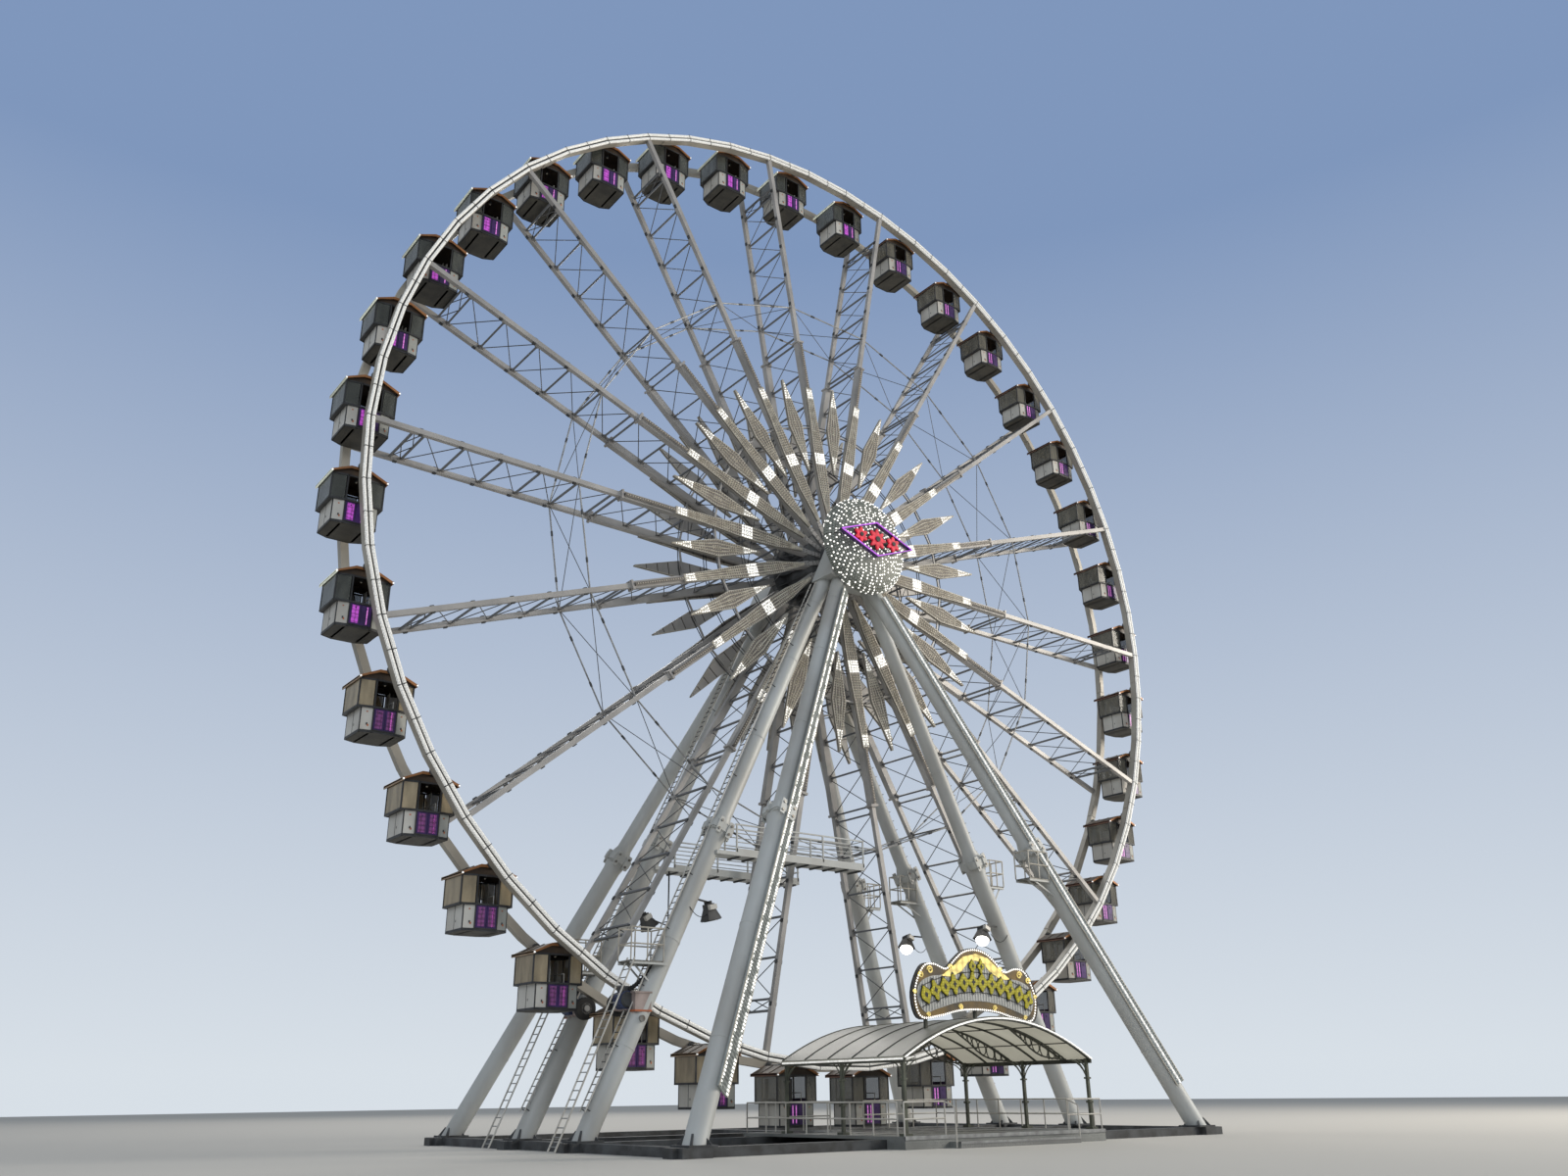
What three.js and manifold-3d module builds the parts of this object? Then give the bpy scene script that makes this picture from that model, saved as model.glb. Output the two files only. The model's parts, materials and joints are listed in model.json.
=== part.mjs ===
// Ferris wheel with two rims, eighteen lattice spokes and thirty-six hanging cabins.
// Scale model at 1:2 of a wheel about 46 m high. Units are millimetres of the model.
// The origin is on the ground under the hub. +Z is up, +X is right and -Y is the front.
import * as THREE from 'three';
import { mergeVertices } from 'three/addons/utils/BufferGeometryUtils.js';
import Module from 'manifold-3d';

const wasm = await Module();
wasm.setup();

// Driving dimensions of the wheel
const hubHeight = 12000;
const rimRadius = 10700;
const rimSection = 150;
const rimInnerY = 510;
const rimSides = 54;
const spokeCount = 18;
const cabinCount = 36;
const spokePhase = THREE.MathUtils.degToRad(10.675);
const seat = 0.4; // gap between pieces that touch

// Spoke lattice: two chords with struts between them
const chordY = 630;
const innerChord = 150;
const outerChord = 100;
const flangeRadius = 800;
const jointRadius = 5540;
const innerStrutPitch = 815;
const outerStrutPitch = 790;
const strutSize = 36;
const jointStrutOffset = 160;
const innerStruts = 5;
const outerStruts = 6;
const endBeamRadius = 9870;
const endBeamSize = 40;
const ringTieRadius = jointRadius + jointStrutOffset + outerStrutPitch;
const ringTieSize = 22;

// Light lances on the front and back chords, as [radius, half width]
const lanceThickness = 46;
const lanceSink = 4;
const longLance = [[975, 25], [1750, 125], [2500, 145], [3425, 97], [4300, 75], [4320, 38], [5500, 32]];
const shortLance = [[2180, 4], [3300, 185], [4440, 4]];
const lanceBarRadius = 3300;
const lanceBarSize = 36;

// Hub and axle
const drumRadius = 450;
const axleRadius = 200;
const axleSides = 24;
const axleEndY = 1490;

// Cabin, measured from its pivot
const cabinRoof = { halfWidth: 500, halfDepth: 440, eaves: -180, crest: 150, ridge: 45 };
const cabinUpper = { halfWidth: 475, front: -420, side: 330, back: 425, bottom: -680 };
const cabinLower = { halfWidth: 400, front: -405, side: 300, back: 400, bottom: -1110 };
const cabinWall = 36;
const cabinFloor = 44;
const doorway = { halfWidth: 150, bottom: -680, top: -230, runOut: 60 };
const pinSize = 56;

// Supports
const legTopDrop = 800;
const legRadiusUpper = 155;
const legRadiusLower = 180;
const collarRadius = 232;
const collarHeight = 5480;
const collarLength = 260;
const legSides = 12;
const legRunOut = 400; // cut off level with the base
const innerLeg = { headX: 250, headY: 1075, footX: 6060, footY: 1075 };
const outerLeg = { headX: 60, headY: 1150, footX: 6000, footY: 4250 };
const head = {
  inner: 900, outer: 1560, topHalf: 330, topRise: 350, bottomHalf: 850, boreDepth: 1500, boreRunOut: 50,
};
// Lamp dome over the front bearing head, as [radius, distance in front of the axle's middle]
const dome = {
  neckRadius: 300, sides: 24,
  bowl: [[1060, 1600], [1085, 1713], [944, 1879], [543, 2010], [0, 2050]],
};

// Base, deck and walkways
const base = { height: 140, beam: 260, halfX: 6400, padHalf: 260 };
const deck = {
  halfX: 2400, frontY: -4820, backY: -520, top: 190, skirt: 60,
  stepHalf: 1440, stepDepth: 250, stepTop: 95, clearance: 10,
};
const canopy = {
  halfX: 2280, frontY: -4760, backY: -1510, eaves: 1345, crown: 1985, sheet: 34, post: 90, steps: 16,
};
// Show board over the way in, as [x, z] up its right side, on three posts
const sign = {
  y: -4210, thickness: 50, bottom: 2150, post: 50, posts: [-1200, 0, 1200], postTop: 2300,
  side: [[1000, 2020], [1450, 2000], [1570, 2410], [1350, 2840], [1070, 2910], [770, 2840], [530, 3010],
    [300, 3155]],
  top: 3210,
};
const walkway = {
  floor: 5060, thickness: 70, width: 420, start: -3560, railStart: -3130, end: 60,
  rail: 520, post: 26, posts: 3,
};
const drive = {
  angle: THREE.MathUtils.degToRad(208), tyreRadius: 200, tyreWidth: 120, shaftRadius: 45, shaftSides: 12,
  bearingNear: 670, bearingFar: 880, bearingHalf: 120, armLap: 60, shaftEnd: 810, tyreSides: 16,
  motorRadius: 150, motorEnd: 1200,
};
// Stands on the legs, as the reach in X and in Y and the height of each floor
const stand = { thickness: 60, brace: 40, drop: 420 };
const stands = {
  leg_inner_front_left: { x: [-5360, -4700], y: [-1320, -890], floor: 3000 },
  leg_inner_back_left: { x: [-5360, -4700], y: [890, 1320], floor: 3000 },
  leg_inner_front_right: { x: [3760, 4160], y: [-1230, -890], floor: 5020 },
  leg_inner_back_right: { x: [3020, 3520], y: [890, 1250], floor: 4900 },
  leg_outer_front_right: { x: [2860, 3440], y: [-3160, -2780], floor: 4860 },
  leg_outer_back_right: { x: [3700, 4080], y: [2780, 3140], floor: 5020 },
};
// Square floodlights on the inner legs, with the half widths of their ends
const flood = {
  height: 4100, reach: 380, shift: 100, small: 60, large: 165, length: 310, lean: 0.42, arm: 30, armRise: 40,
};

const steel = { color: 0xd9dad6, roughness: 0.5, metalness: 0.3 };
const darkSteel = { color: 0x5d6164, roughness: 0.6, metalness: 0.4 };
const cabinPaint = { color: 0xe8e6df, roughness: 0.45, metalness: 0.0 };
const rubber = { color: 0x222224, roughness: 0.9, metalness: 0.0 };
const deckPaint = { color: 0x8d8f8c, roughness: 0.7, metalness: 0.2 };
const roofSheet = { color: 0xb9b4a4, roughness: 0.5, metalness: 0.0 };

const wheelCentre = new THREE.Vector3(0, 0, hubHeight);
const along = new THREE.Vector3(0, 1, 0);
const model = new THREE.Group();
const wheel = new THREE.Group();
wheel.position.copy(wheelCentre);
model.add(wheel);

function toSolid(geometry) {
  const bare = geometry.index ? geometry.toNonIndexed() : geometry.clone();
  bare.deleteAttribute('normal');
  bare.deleteAttribute('uv');
  const merged = mergeVertices(bare, 1e-3);
  return new wasm.Manifold(new wasm.Mesh({
    numProp: 3,
    vertProperties: new Float32Array(merged.attributes.position.array),
    triVerts: new Uint32Array(merged.index.array),
  }));
}

function toGeometry(solid) {
  const mesh = solid.getMesh();
  const geometry = new THREE.BufferGeometry();
  geometry.setAttribute('position', new THREE.BufferAttribute(new Float32Array(mesh.vertProperties), 3));
  geometry.setIndex(new THREE.BufferAttribute(new Uint32Array(mesh.triVerts), 1));
  geometry.computeVertexNormals();
  return geometry;
}

function join(solids) {
  let queue = solids;
  while (queue.length > 1) {
    const next = [];
    for (let i = 0; i < queue.length; i += 2) {
      next.push(i + 1 < queue.length ? queue[i].add(queue[i + 1]) : queue[i]);
    }
    queue = next;
  }
  return queue[0];
}

function place(parent, name, solid, finish) {
  const plain = solid.asOriginal().simplify(0.01);
  const mesh = new THREE.Mesh(toGeometry(plain), new THREE.MeshStandardMaterial(finish));
  mesh.name = name;
  parent.add(mesh);
  return mesh;
}

// A box given by its lowest and highest corners
function block(low, high) {
  const size = high.map((value, i) => value - low[i]);
  const box = new THREE.BoxGeometry(...size);
  box.translate(...low.map((value, i) => value + size[i] / 2));
  return toSolid(box);
}

// A bar of square section between two points, flat to the Y direction where it can be
function bar(from, to, width, depth = width) {
  const a = new THREE.Vector3(...from);
  const b = new THREE.Vector3(...to);
  const direction = b.clone().sub(a);
  const length = direction.length();
  direction.normalize();
  const upright = Math.abs(direction.y) > 0.99 ? new THREE.Vector3(0, 0, 1) : along;
  const side = new THREE.Vector3().crossVectors(direction, upright).normalize();
  const up = new THREE.Vector3().crossVectors(side, direction);
  const box = new THREE.BoxGeometry(width, length, depth);
  box.applyMatrix4(new THREE.Matrix4().makeBasis(side, direction, up));
  box.translate(...a.add(b).multiplyScalar(0.5).toArray());
  return toSolid(box);
}

// An outline of [x, z] points pushed along Y
function plate(outline, fromY, toY) {
  const shape = new THREE.Shape(outline.map(([x, z]) => new THREE.Vector2(x, z)));
  const slab = new THREE.ExtrudeGeometry(shape, { depth: toY - fromY, bevelEnabled: false });
  slab.rotateX(Math.PI / 2);
  slab.translate(0, toY, 0);
  return toSolid(slab);
}

// An outline of [x, y] points pushed up
function column(outline, fromZ, toZ) {
  const shape = new THREE.Shape(outline.map(([x, y]) => new THREE.Vector2(x, y)));
  const slab = new THREE.ExtrudeGeometry(shape, { depth: toZ - fromZ, bevelEnabled: false });
  slab.translate(0, 0, fromZ);
  return toSolid(slab);
}

// Turns a solid about the axle, clockwise as seen from the front
function turned(solid, angle) {
  return solid.rotate([0, THREE.MathUtils.radToDeg(angle), 0]);
}

// A ring about the axle with flat sides
function flatRing(outer, inner, sides, fromY, toY, phase) {
  const corners = (radius) => Array.from({ length: sides }, (_, i) => {
    const angle = phase + i * 2 * Math.PI / sides;
    return [radius * Math.sin(angle), radius * Math.cos(angle)];
  });
  const disc = plate(corners(outer), fromY, toY);
  return inner > 0 ? disc.subtract(plate(corners(inner), fromY - 1, toY + 1)) : disc;
}

// Widths along the radius, mirrored to a closed outline
function lanceOutline(stations) {
  const right = stations.map(([radius, half]) => [half, radius]);
  const left = stations.map(([radius, half]) => [-half, radius]).reverse();
  return right.concat(left);
}

function lance(stations, side, sink, grow = 0) {
  const inside = chordY + innerChord / 2 - sink;
  const faces = [side * (inside - grow), side * (inside + lanceThickness + grow)];
  const wider = stations.map(([radius, half]) => [radius, half + grow]);
  return plate(lanceOutline(wider), ...faces.sort((a, b) => a - b));
}

function spokeStruts() {
  const radii = [];
  for (let i = 0; i <= innerStruts; i += 1) radii.push(jointRadius - i * innerStrutPitch);
  for (let i = 0; i < outerStruts; i += 1) radii.push(jointRadius + jointStrutOffset + i * outerStrutPitch);
  const across = (radius, size) => bar([0, -chordY, radius], [0, chordY, radius], size);
  return radii.map((radius) => across(radius, strutSize)).concat(across(endBeamRadius, endBeamSize));
}

function chordPair(grow) {
  const cornerDrop = outerChord / 2 * Math.tan(Math.PI / rimSides);
  const end = rimRadius - rimSection / 2 - cornerDrop - seat;
  const parts = [];
  for (const side of [-1, 1]) {
    const y = side * chordY;
    parts.push(bar([0, y, flangeRadius - grow], [0, y, jointRadius], innerChord + 2 * grow));
    parts.push(bar([0, y, jointRadius - strutSize], [0, y, end], outerChord + 2 * grow));
  }
  return parts;
}

function spoke() {
  const parts = chordPair(0).concat(spokeStruts());
  for (const side of [-1, 1]) parts.push(lance(longLance, side, lanceSink));
  return join(parts);
}

// Everything in the bay between a spoke and the next one clockwise
function bayPieces() {
  const step = 2 * Math.PI / spokeCount;
  const at = (radius, angle, y) => [radius * Math.sin(angle), y, radius * Math.cos(angle)];
  const parts = [];
  for (const side of [-1, 1]) {
    const tieY = side * chordY;
    parts.push(bar(at(ringTieRadius, 0, tieY), at(ringTieRadius, step, tieY), ringTieSize));
    const barY = side * (chordY + innerChord / 2 - 2 * lanceSink - lanceBarSize / 2);
    parts.push(bar(at(lanceBarRadius, 0, barY), at(lanceBarRadius, step, barY), lanceBarSize));
    parts.push(turned(lance(shortLance, side, 3 * lanceSink), step / 2));
  }
  return join(parts);
}

// Six neighbouring spokes and the six bays after them, as one welded fan
function spokeFan(first, count) {
  const step = 2 * Math.PI / spokeCount;
  const single = spoke();
  const bay = bayPieces();
  const parts = [];
  for (let i = first; i < first + count; i += 1) {
    parts.push(turned(single, spokePhase + i * step));
    parts.push(turned(bay, spokePhase + i * step));
  }
  const next = join(chordPair(seat).concat([-1, 1].map((side) => lance(longLance, side, lanceSink, seat))));
  return join(parts).subtract(turned(next, spokePhase + (first + count) * step));
}

function rim(side) {
  const faces = [side * rimInnerY, side * (rimInnerY + rimSection)].sort((a, b) => a - b);
  const half = rimSection / 2;
  return flatRing(rimRadius + half, rimRadius - half, rimSides, ...faces, spokePhase);
}

function hub() {
  const drum = flatRing(drumRadius, 0, axleSides, -chordY, chordY, 0);
  const axle = flatRing(axleRadius, 0, axleSides, -axleEndY, axleEndY, 0);
  const corner = (flangeRadius - seat) / Math.cos(Math.PI / spokeCount);
  const phase = spokePhase + Math.PI / spokeCount;
  const half = innerChord / 2;
  const flanges = [-1, 1].map((side) => (
    flatRing(corner, 0, spokeCount, side * chordY - half, side * chordY + half, phase)));
  return join([drum, axle, ...flanges]);
}

// Plan of a cabin wall with a bowed back
function cabinPlan({ halfWidth, front, side, back }) {
  const bow = halfWidth * 0.5;
  return [
    [-halfWidth, front], [halfWidth, front], [halfWidth, side],
    [bow, back], [-bow, back], [-halfWidth, side]];
}

function cabin() {
  const { halfWidth, halfDepth, eaves, crest, ridge } = cabinRoof;
  const roof = plate(
    [[-halfWidth, eaves], [halfWidth, eaves], [crest, ridge], [-crest, ridge]],
    -halfDepth, halfDepth);
  const upper = column(cabinPlan(cabinUpper), cabinUpper.bottom, eaves);
  const lower = column(cabinPlan(cabinLower), cabinLower.bottom, cabinUpper.bottom);
  const pin = bar([0, seat - rimInnerY, 0], [0, rimInnerY - seat, 0], pinSize);
  const room = block(
    [cabinWall - cabinLower.halfWidth, cabinLower.front + cabinWall, cabinLower.bottom + cabinFloor],
    [cabinLower.halfWidth - cabinWall, cabinLower.side - cabinWall / 2, eaves - cabinWall]);
  const opening = block(
    [-doorway.halfWidth, cabinUpper.front - doorway.runOut, doorway.bottom],
    [doorway.halfWidth, 0, doorway.top]);
  return join([roof, upper, lower, pin]).subtract(room).subtract(opening);
}

// A tube from the head to the base with a bolted collar at mid height
function leg({ headX, headY, footX, footY }, sideX, sideY, grow = 0) {
  const top = new THREE.Vector3(sideX * headX, sideY * headY, hubHeight);
  const foot = new THREE.Vector3(sideX * footX, sideY * footY, 0);
  const direction = top.clone().sub(foot);
  const length = direction.length();
  const collar = collarHeight / hubHeight * length;
  const half = collarLength / 2;
  const profile = [
    [legRadiusLower, -legRunOut], [legRadiusLower, collar - 2 * half], [collarRadius, collar - half],
    [collarRadius, collar + half], [legRadiusUpper, collar + 2 * half], [legRadiusUpper, length],
  ].map(([x, y]) => new THREE.Vector2(x + grow, y));
  profile.unshift(new THREE.Vector2(0, -legRunOut));
  profile.push(new THREE.Vector2(0, length));
  const tube = new THREE.LatheGeometry(profile, legSides);
  tube.applyQuaternion(new THREE.Quaternion().setFromUnitVectors(along, direction.normalize()));
  tube.translate(...foot.toArray());
  const reach = 7000;
  const keep = block([-reach, -reach, base.height + seat], [reach, reach, hubHeight - legTopDrop - seat]);
  return toSolid(tube).intersect(keep);
}

// The point on a leg's axis at a height
function legPoint({ headX, headY, footX, footY }, sideX, sideY, z) {
  const share = z / hubHeight;
  const across = footX + (headX - footX) * share;
  return new THREE.Vector3(sideX * across, sideY * (footY + (headY - footY) * share), z);
}

// A floor on the side of a leg, with a brace under its far edge
function legStand({ x, y, floor }, shape, sideX, sideY) {
  const slab = block([x[0], y[0], floor - stand.thickness], [x[1], y[1], floor]);
  const low = legPoint(shape, sideX, sideY, floor - stand.drop);
  const [farX] = x.slice().sort((a, b) => Math.abs(b - low.x) - Math.abs(a - low.x));
  const inset = Math.sign(low.x - farX) * stand.brace;
  const far = [farX + inset, low.y, floor - stand.thickness / 2];
  return slab.add(bar(low.toArray(), far, stand.brace));
}

function floodlight(sideX, sideY) {
  const outward = new THREE.Vector3(0, sideY * flood.shift, 0);
  const near = legPoint(innerLeg, sideX, sideY, flood.height).add(outward);
  const start = near.clone().add(new THREE.Vector3(-sideX * flood.reach, 0, 0));
  const aim = new THREE.Vector3(-sideX * flood.lean, 0, -1).normalize();
  const across = new THREE.Vector3().crossVectors(aim, along);
  const profile = [[0, 0], [flood.small, 0], [flood.large, flood.length], [0, flood.length]]
    .map(([half, y]) => new THREE.Vector2(half * Math.SQRT2, y));
  const lamp = new THREE.LatheGeometry(profile, 4);
  lamp.rotateY(Math.PI / 4);
  lamp.applyMatrix4(new THREE.Matrix4().makeBasis(across, aim, along));
  lamp.translate(...start.toArray());
  const rise = new THREE.Vector3(0, 0, flood.armRise);
  const arm = bar(near.add(rise).toArray(), start.addScaledVector(aim, flood.small).toArray(), flood.arm);
  return toSolid(lamp).add(arm);
}

function bearingHead(side) {
  const outline = [
    [-head.bottomHalf, -legTopDrop], [head.bottomHalf, -legTopDrop],
    [head.topHalf, head.topRise], [-head.topHalf, head.topRise]];
  const sorted = (a, b) => [side * a, side * b].sort((p, q) => p - q);
  const body = plate(outline, ...sorted(head.inner, head.outer));
  const boreRadius = (axleRadius + seat) / Math.cos(Math.PI / axleSides);
  const boreEnds = sorted(head.inner - head.boreRunOut, head.boreDepth);
  const bore = flatRing(boreRadius, 0, axleSides, ...boreEnds, Math.PI / axleSides);
  return body.subtract(bore);
}

function hubDome() {
  const back = head.outer + seat;
  const neck = [[0, back], [dome.neckRadius, back], [dome.neckRadius, dome.bowl[0][1]]];
  const profile = [...neck, ...dome.bowl].map(([radius, y]) => new THREE.Vector2(radius, -y)).reverse();
  return toSolid(new THREE.LatheGeometry(profile, dome.sides));
}

// Steel sleepers under the legs
function baseFrame() {
  const { height, beam, halfX, padHalf } = base;
  const half = beam / 2;
  const parts = [];
  for (const y of [-outerLeg.footY, -innerLeg.footY, innerLeg.footY, outerLeg.footY]) {
    parts.push(block([-halfX, y - half, 0], [halfX, y + half, height]));
    for (const x of [-innerLeg.footX, innerLeg.footX]) {
      parts.push(block([x - padHalf, y - padHalf, 0], [x + padHalf, y + padHalf, height]));
    }
  }
  for (const x of [-innerLeg.footX, 0, innerLeg.footX]) {
    parts.push(block([x - half, -outerLeg.footY, 0], [x + half, outerLeg.footY, height]));
  }
  return join(parts);
}

function driveCentre() {
  const radius = rimRadius + rimSection / 2 + drive.tyreRadius + seat;
  return [radius * Math.sin(drive.angle), hubHeight + radius * Math.cos(drive.angle)];
}

// The block on the inner leg that carries the shaft and the motor of a drive tyre
function driveBracket(side) {
  const [x, z] = driveCentre();
  const { bearingNear, bearingFar, bearingHalf } = drive;
  const reach = (from, to) => [side * from, side * to].sort((a, b) => a - b);
  const [low, high] = reach(bearingNear, bearingFar);
  const bearing = block([x - bearingHalf, low, z - bearingHalf], [x + bearingHalf, high, z + bearingHalf]);
  const [armLow, armHigh] = reach(bearingFar - drive.armLap, innerLeg.headY);
  const legX = legPoint(innerLeg, -1, side, z).x;
  const arm = block([x - bearingHalf, armLow, z - bearingHalf], [legX, armHigh, z + bearingHalf]);
  const motorEnds = reach(bearingFar - drive.armLap, drive.motorEnd);
  const motor = flatRing(drive.motorRadius, 0, axleSides, ...motorEnds, 0).translate([x, 0, z]);
  const boreRadius = (drive.shaftRadius + seat) / Math.cos(Math.PI / drive.shaftSides);
  const bore = flatRing(boreRadius, 0, drive.shaftSides, low - 1, high + 1, Math.PI / drive.shaftSides);
  return join([bearing, arm, motor]).subtract(bore.translate([x, 0, z]));
}

function driveTyre(side) {
  const wheelY = side * (rimInnerY + rimSection / 2);
  const half = drive.tyreWidth / 2;
  const tyre = flatRing(drive.tyreRadius, 0, drive.tyreSides, wheelY - half, wheelY + half, 0);
  const ends = [wheelY, side * drive.shaftEnd].sort((a, b) => a - b);
  return tyre.add(flatRing(drive.shaftRadius, 0, drive.shaftSides, ...ends, 0));
}

function boardingDeck() {
  const { halfX, frontY, backY, top, skirt, stepHalf, stepDepth, stepTop } = deck;
  const underside = base.height + seat;
  const parts = [block([-halfX, frontY, underside], [halfX, backY, top])];
  const clearOfBase = outerLeg.footY + base.beam / 2 + deck.clearance;
  parts.push(block([-halfX, frontY, 0], [halfX, -clearOfBase, underside + 1]));
  parts.push(block([-stepHalf, frontY - stepDepth, 0], [stepHalf, frontY + 1, stepTop]));
  parts.push(block([-halfX, backY - skirt, 0], [-base.beam, backY, underside + 1]));
  parts.push(block([base.beam, backY - skirt, 0], [halfX, backY, underside + 1]));
  return join(parts);
}

function entranceCanopy() {
  const { halfX, frontY, backY, eaves, crown, sheet, post, steps } = canopy;
  const archHeight = (x) => eaves + (crown - eaves) * (1 - (x / halfX) ** 2);
  const arch = (lift) => Array.from({ length: steps + 1 }, (_, i) => {
    const x = halfX * (2 * i / steps - 1);
    return [x, archHeight(x) + lift];
  });
  const vault = plate(arch(0).concat(arch(sheet).reverse()), frontY, backY);
  const parts = [vault];
  for (const x of [-1, 1]) {
    for (const y of [frontY + post, (frontY + backY) / 2, backY - post]) {
      const inside = x * (halfX - post / 2);
      parts.push(block(
        [inside - post / 2, y - post / 2, deck.top + seat],
        [inside + post / 2, y + post / 2, eaves + sheet]));
    }
  }
  const left = sign.side.map(([x, z]) => [-x, z]).reverse();
  const board = [[0, sign.bottom], ...sign.side, [0, sign.top], ...left];
  const half = sign.post / 2;
  parts.push(plate(board, sign.y - sign.thickness / 2, sign.y + sign.thickness / 2));
  for (const x of sign.posts) {
    parts.push(block([x - half, sign.y, archHeight(x)], [x + half, sign.y + sign.post, sign.postTop]));
  }
  return join(parts);
}

// A railed walkway that reaches from the left inner leg to under the hub
function catwalk(side) {
  const { floor, thickness, width, start, railStart, end, rail, post, posts } = walkway;
  const y = side * innerLeg.headY;
  const low = y - width / 2;
  const high = y + width / 2;
  const parts = [block([start, low, floor - thickness], [end, high, floor])];
  for (const edge of [low + post / 2, high - post / 2]) {
    parts.push(bar([railStart, edge, floor + rail], [end, edge, floor + rail], post));
    for (let i = 0; i <= posts; i += 1) {
      const x = railStart + post + (end - railStart - 2 * post) * i / posts;
      parts.push(bar([x, edge, floor - 1], [x, edge, floor + rail], post));
    }
  }
  return join(parts).subtract(leg(innerLeg, -1, side, seat));
}

const fanSize = spokeCount / 3;
['a', 'b', 'c'].forEach((letter, i) => {
  place(wheel, `spoke_fan_${letter}`, spokeFan(i * fanSize, fanSize), steel);
});
place(wheel, 'rim_front', rim(-1), steel);
place(wheel, 'rim_back', rim(1), steel);
place(wheel, 'hub_drum', hub(), darkSteel);
place(wheel, 'bearing_head_front', bearingHead(-1), steel);
place(wheel, 'bearing_head_back', bearingHead(1), steel);
place(wheel, 'hub_dome', hubDome(), darkSteel);

const cabinSolid = cabin();
for (let i = 0; i < cabinCount; i += 1) {
  const angle = spokePhase + (i + 0.5) * 2 * Math.PI / cabinCount;
  const name = `cabin_${String(i + 1).padStart(2, '0')}`;
  const mesh = place(wheel, name, cabinSolid, cabinPaint);
  mesh.position.set(rimRadius * Math.sin(angle), 0, rimRadius * Math.cos(angle));
}

for (const [depth, sideY] of [['front', -1], ['back', 1]]) {
  for (const [hand, sideX] of [['left', -1], ['right', 1]]) {
    for (const [row, shape] of [['inner', innerLeg], ['outer', outerLeg]]) {
      const name = `leg_${row}_${depth}_${hand}`;
      const parts = [leg(shape, sideX, sideY)];
      if (stands[name]) parts.push(legStand(stands[name], shape, sideX, sideY));
      if (row === 'inner') parts.push(floodlight(sideX, sideY));
      if (row === 'inner' && hand === 'left') parts.push(driveBracket(sideY));
      place(model, name, join(parts), steel);
    }
  }
  place(model, `catwalk_${depth}`, catwalk(sideY), deckPaint);
  const tyre = place(model, `drive_tyre_${depth}`, driveTyre(sideY), rubber);
  const [x, z] = driveCentre();
  tyre.position.set(x, 0, z);
}
place(model, 'base_frame', baseFrame(), darkSteel);
place(model, 'boarding_deck', boardingDeck(), deckPaint);
place(model, 'entrance_canopy', entranceCanopy(), roofSheet);

export default model;
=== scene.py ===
# Ferris wheel, 1:2 scale model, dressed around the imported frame
import json
import math
import random

import bpy
from mathutils import Matrix, Vector


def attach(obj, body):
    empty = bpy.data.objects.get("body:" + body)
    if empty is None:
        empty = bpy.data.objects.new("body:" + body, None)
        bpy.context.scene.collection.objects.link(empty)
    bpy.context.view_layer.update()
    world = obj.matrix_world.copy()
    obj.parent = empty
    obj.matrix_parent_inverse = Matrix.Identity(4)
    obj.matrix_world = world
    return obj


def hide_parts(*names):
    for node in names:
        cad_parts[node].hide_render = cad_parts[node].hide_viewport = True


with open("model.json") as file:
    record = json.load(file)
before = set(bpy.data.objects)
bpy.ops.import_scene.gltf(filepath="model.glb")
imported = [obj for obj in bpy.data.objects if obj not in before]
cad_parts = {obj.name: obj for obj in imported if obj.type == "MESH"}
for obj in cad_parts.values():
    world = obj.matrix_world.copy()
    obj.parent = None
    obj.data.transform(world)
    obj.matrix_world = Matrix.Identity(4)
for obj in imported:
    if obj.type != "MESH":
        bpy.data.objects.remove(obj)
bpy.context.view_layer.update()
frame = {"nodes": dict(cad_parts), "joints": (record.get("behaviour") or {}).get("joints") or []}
joints = {joint["name"]: Vector(joint["pos_m"]) for joint in frame["joints"]}
hub = joints["wheel_spin"]
hands = (-1, 1)
sides = {"front": -1, "back": 1}
print("frame loaded,", len(frame["nodes"]), "nodes")

wheel = {
    "rimRadius": 10.7, "rimSection": 0.15, "rimInner": 0.51, "rimSides": 54, "spokes": 18, "cabins": 36,
    "phase": math.radians(10.675), "chordY": 0.63, "innerChord": 0.15, "outerChord": 0.10,
    "flangeRadius": 0.8, "jointRadius": 5.54, "innerPitch": 0.815, "innerBays": 5, "outerStart": 5.70,
    "outerPitch": 0.79, "outerBays": 5, "endBeam": 9.87,
}
spokeStep = 2 * math.pi / wheel["spokes"]
sideStep = 2 * math.pi / wheel["rimSides"]
chordY = wheel["chordY"]
chordFace = chordY + wheel["innerChord"] / 2
rimFace = wheel["rimInner"] + wheel["rimSection"]


def between(low, high, share):
    return low + (high - low) * share


def spread(low, high, count):
    return [between(low, high, at / (count - 1)) for at in range(count)]


# Height of a line given as (distance, height) points
def follow(line, at, beyond=0.0):
    for (nearAt, near), (farAt, far) in zip(line, line[1:]):
        if nearAt <= at <= farAt:
            return between(near, far, (at - nearAt) / (farAt - nearAt))
    return beyond


def edges(outline):
    return list(zip(outline, outline[1:] + outline[:1]))


def round2(radius, turn):
    return radius * math.cos(turn), radius * math.sin(turn)


def addToScene(name, data):
    item = bpy.data.objects.new(name, data)
    bpy.context.collection.objects.link(item)
    return item


# Camera at the place and the angles that the fit to the photo gives
camera = {
    "place": (-16.797, -20.54, 0.822), "yaw": math.radians(37.703), "pitch": math.radians(22.073),
    "roll": math.radians(-0.732), "lens": 28.68, "sensor": 36.0, "reach": 400,
}


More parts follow.
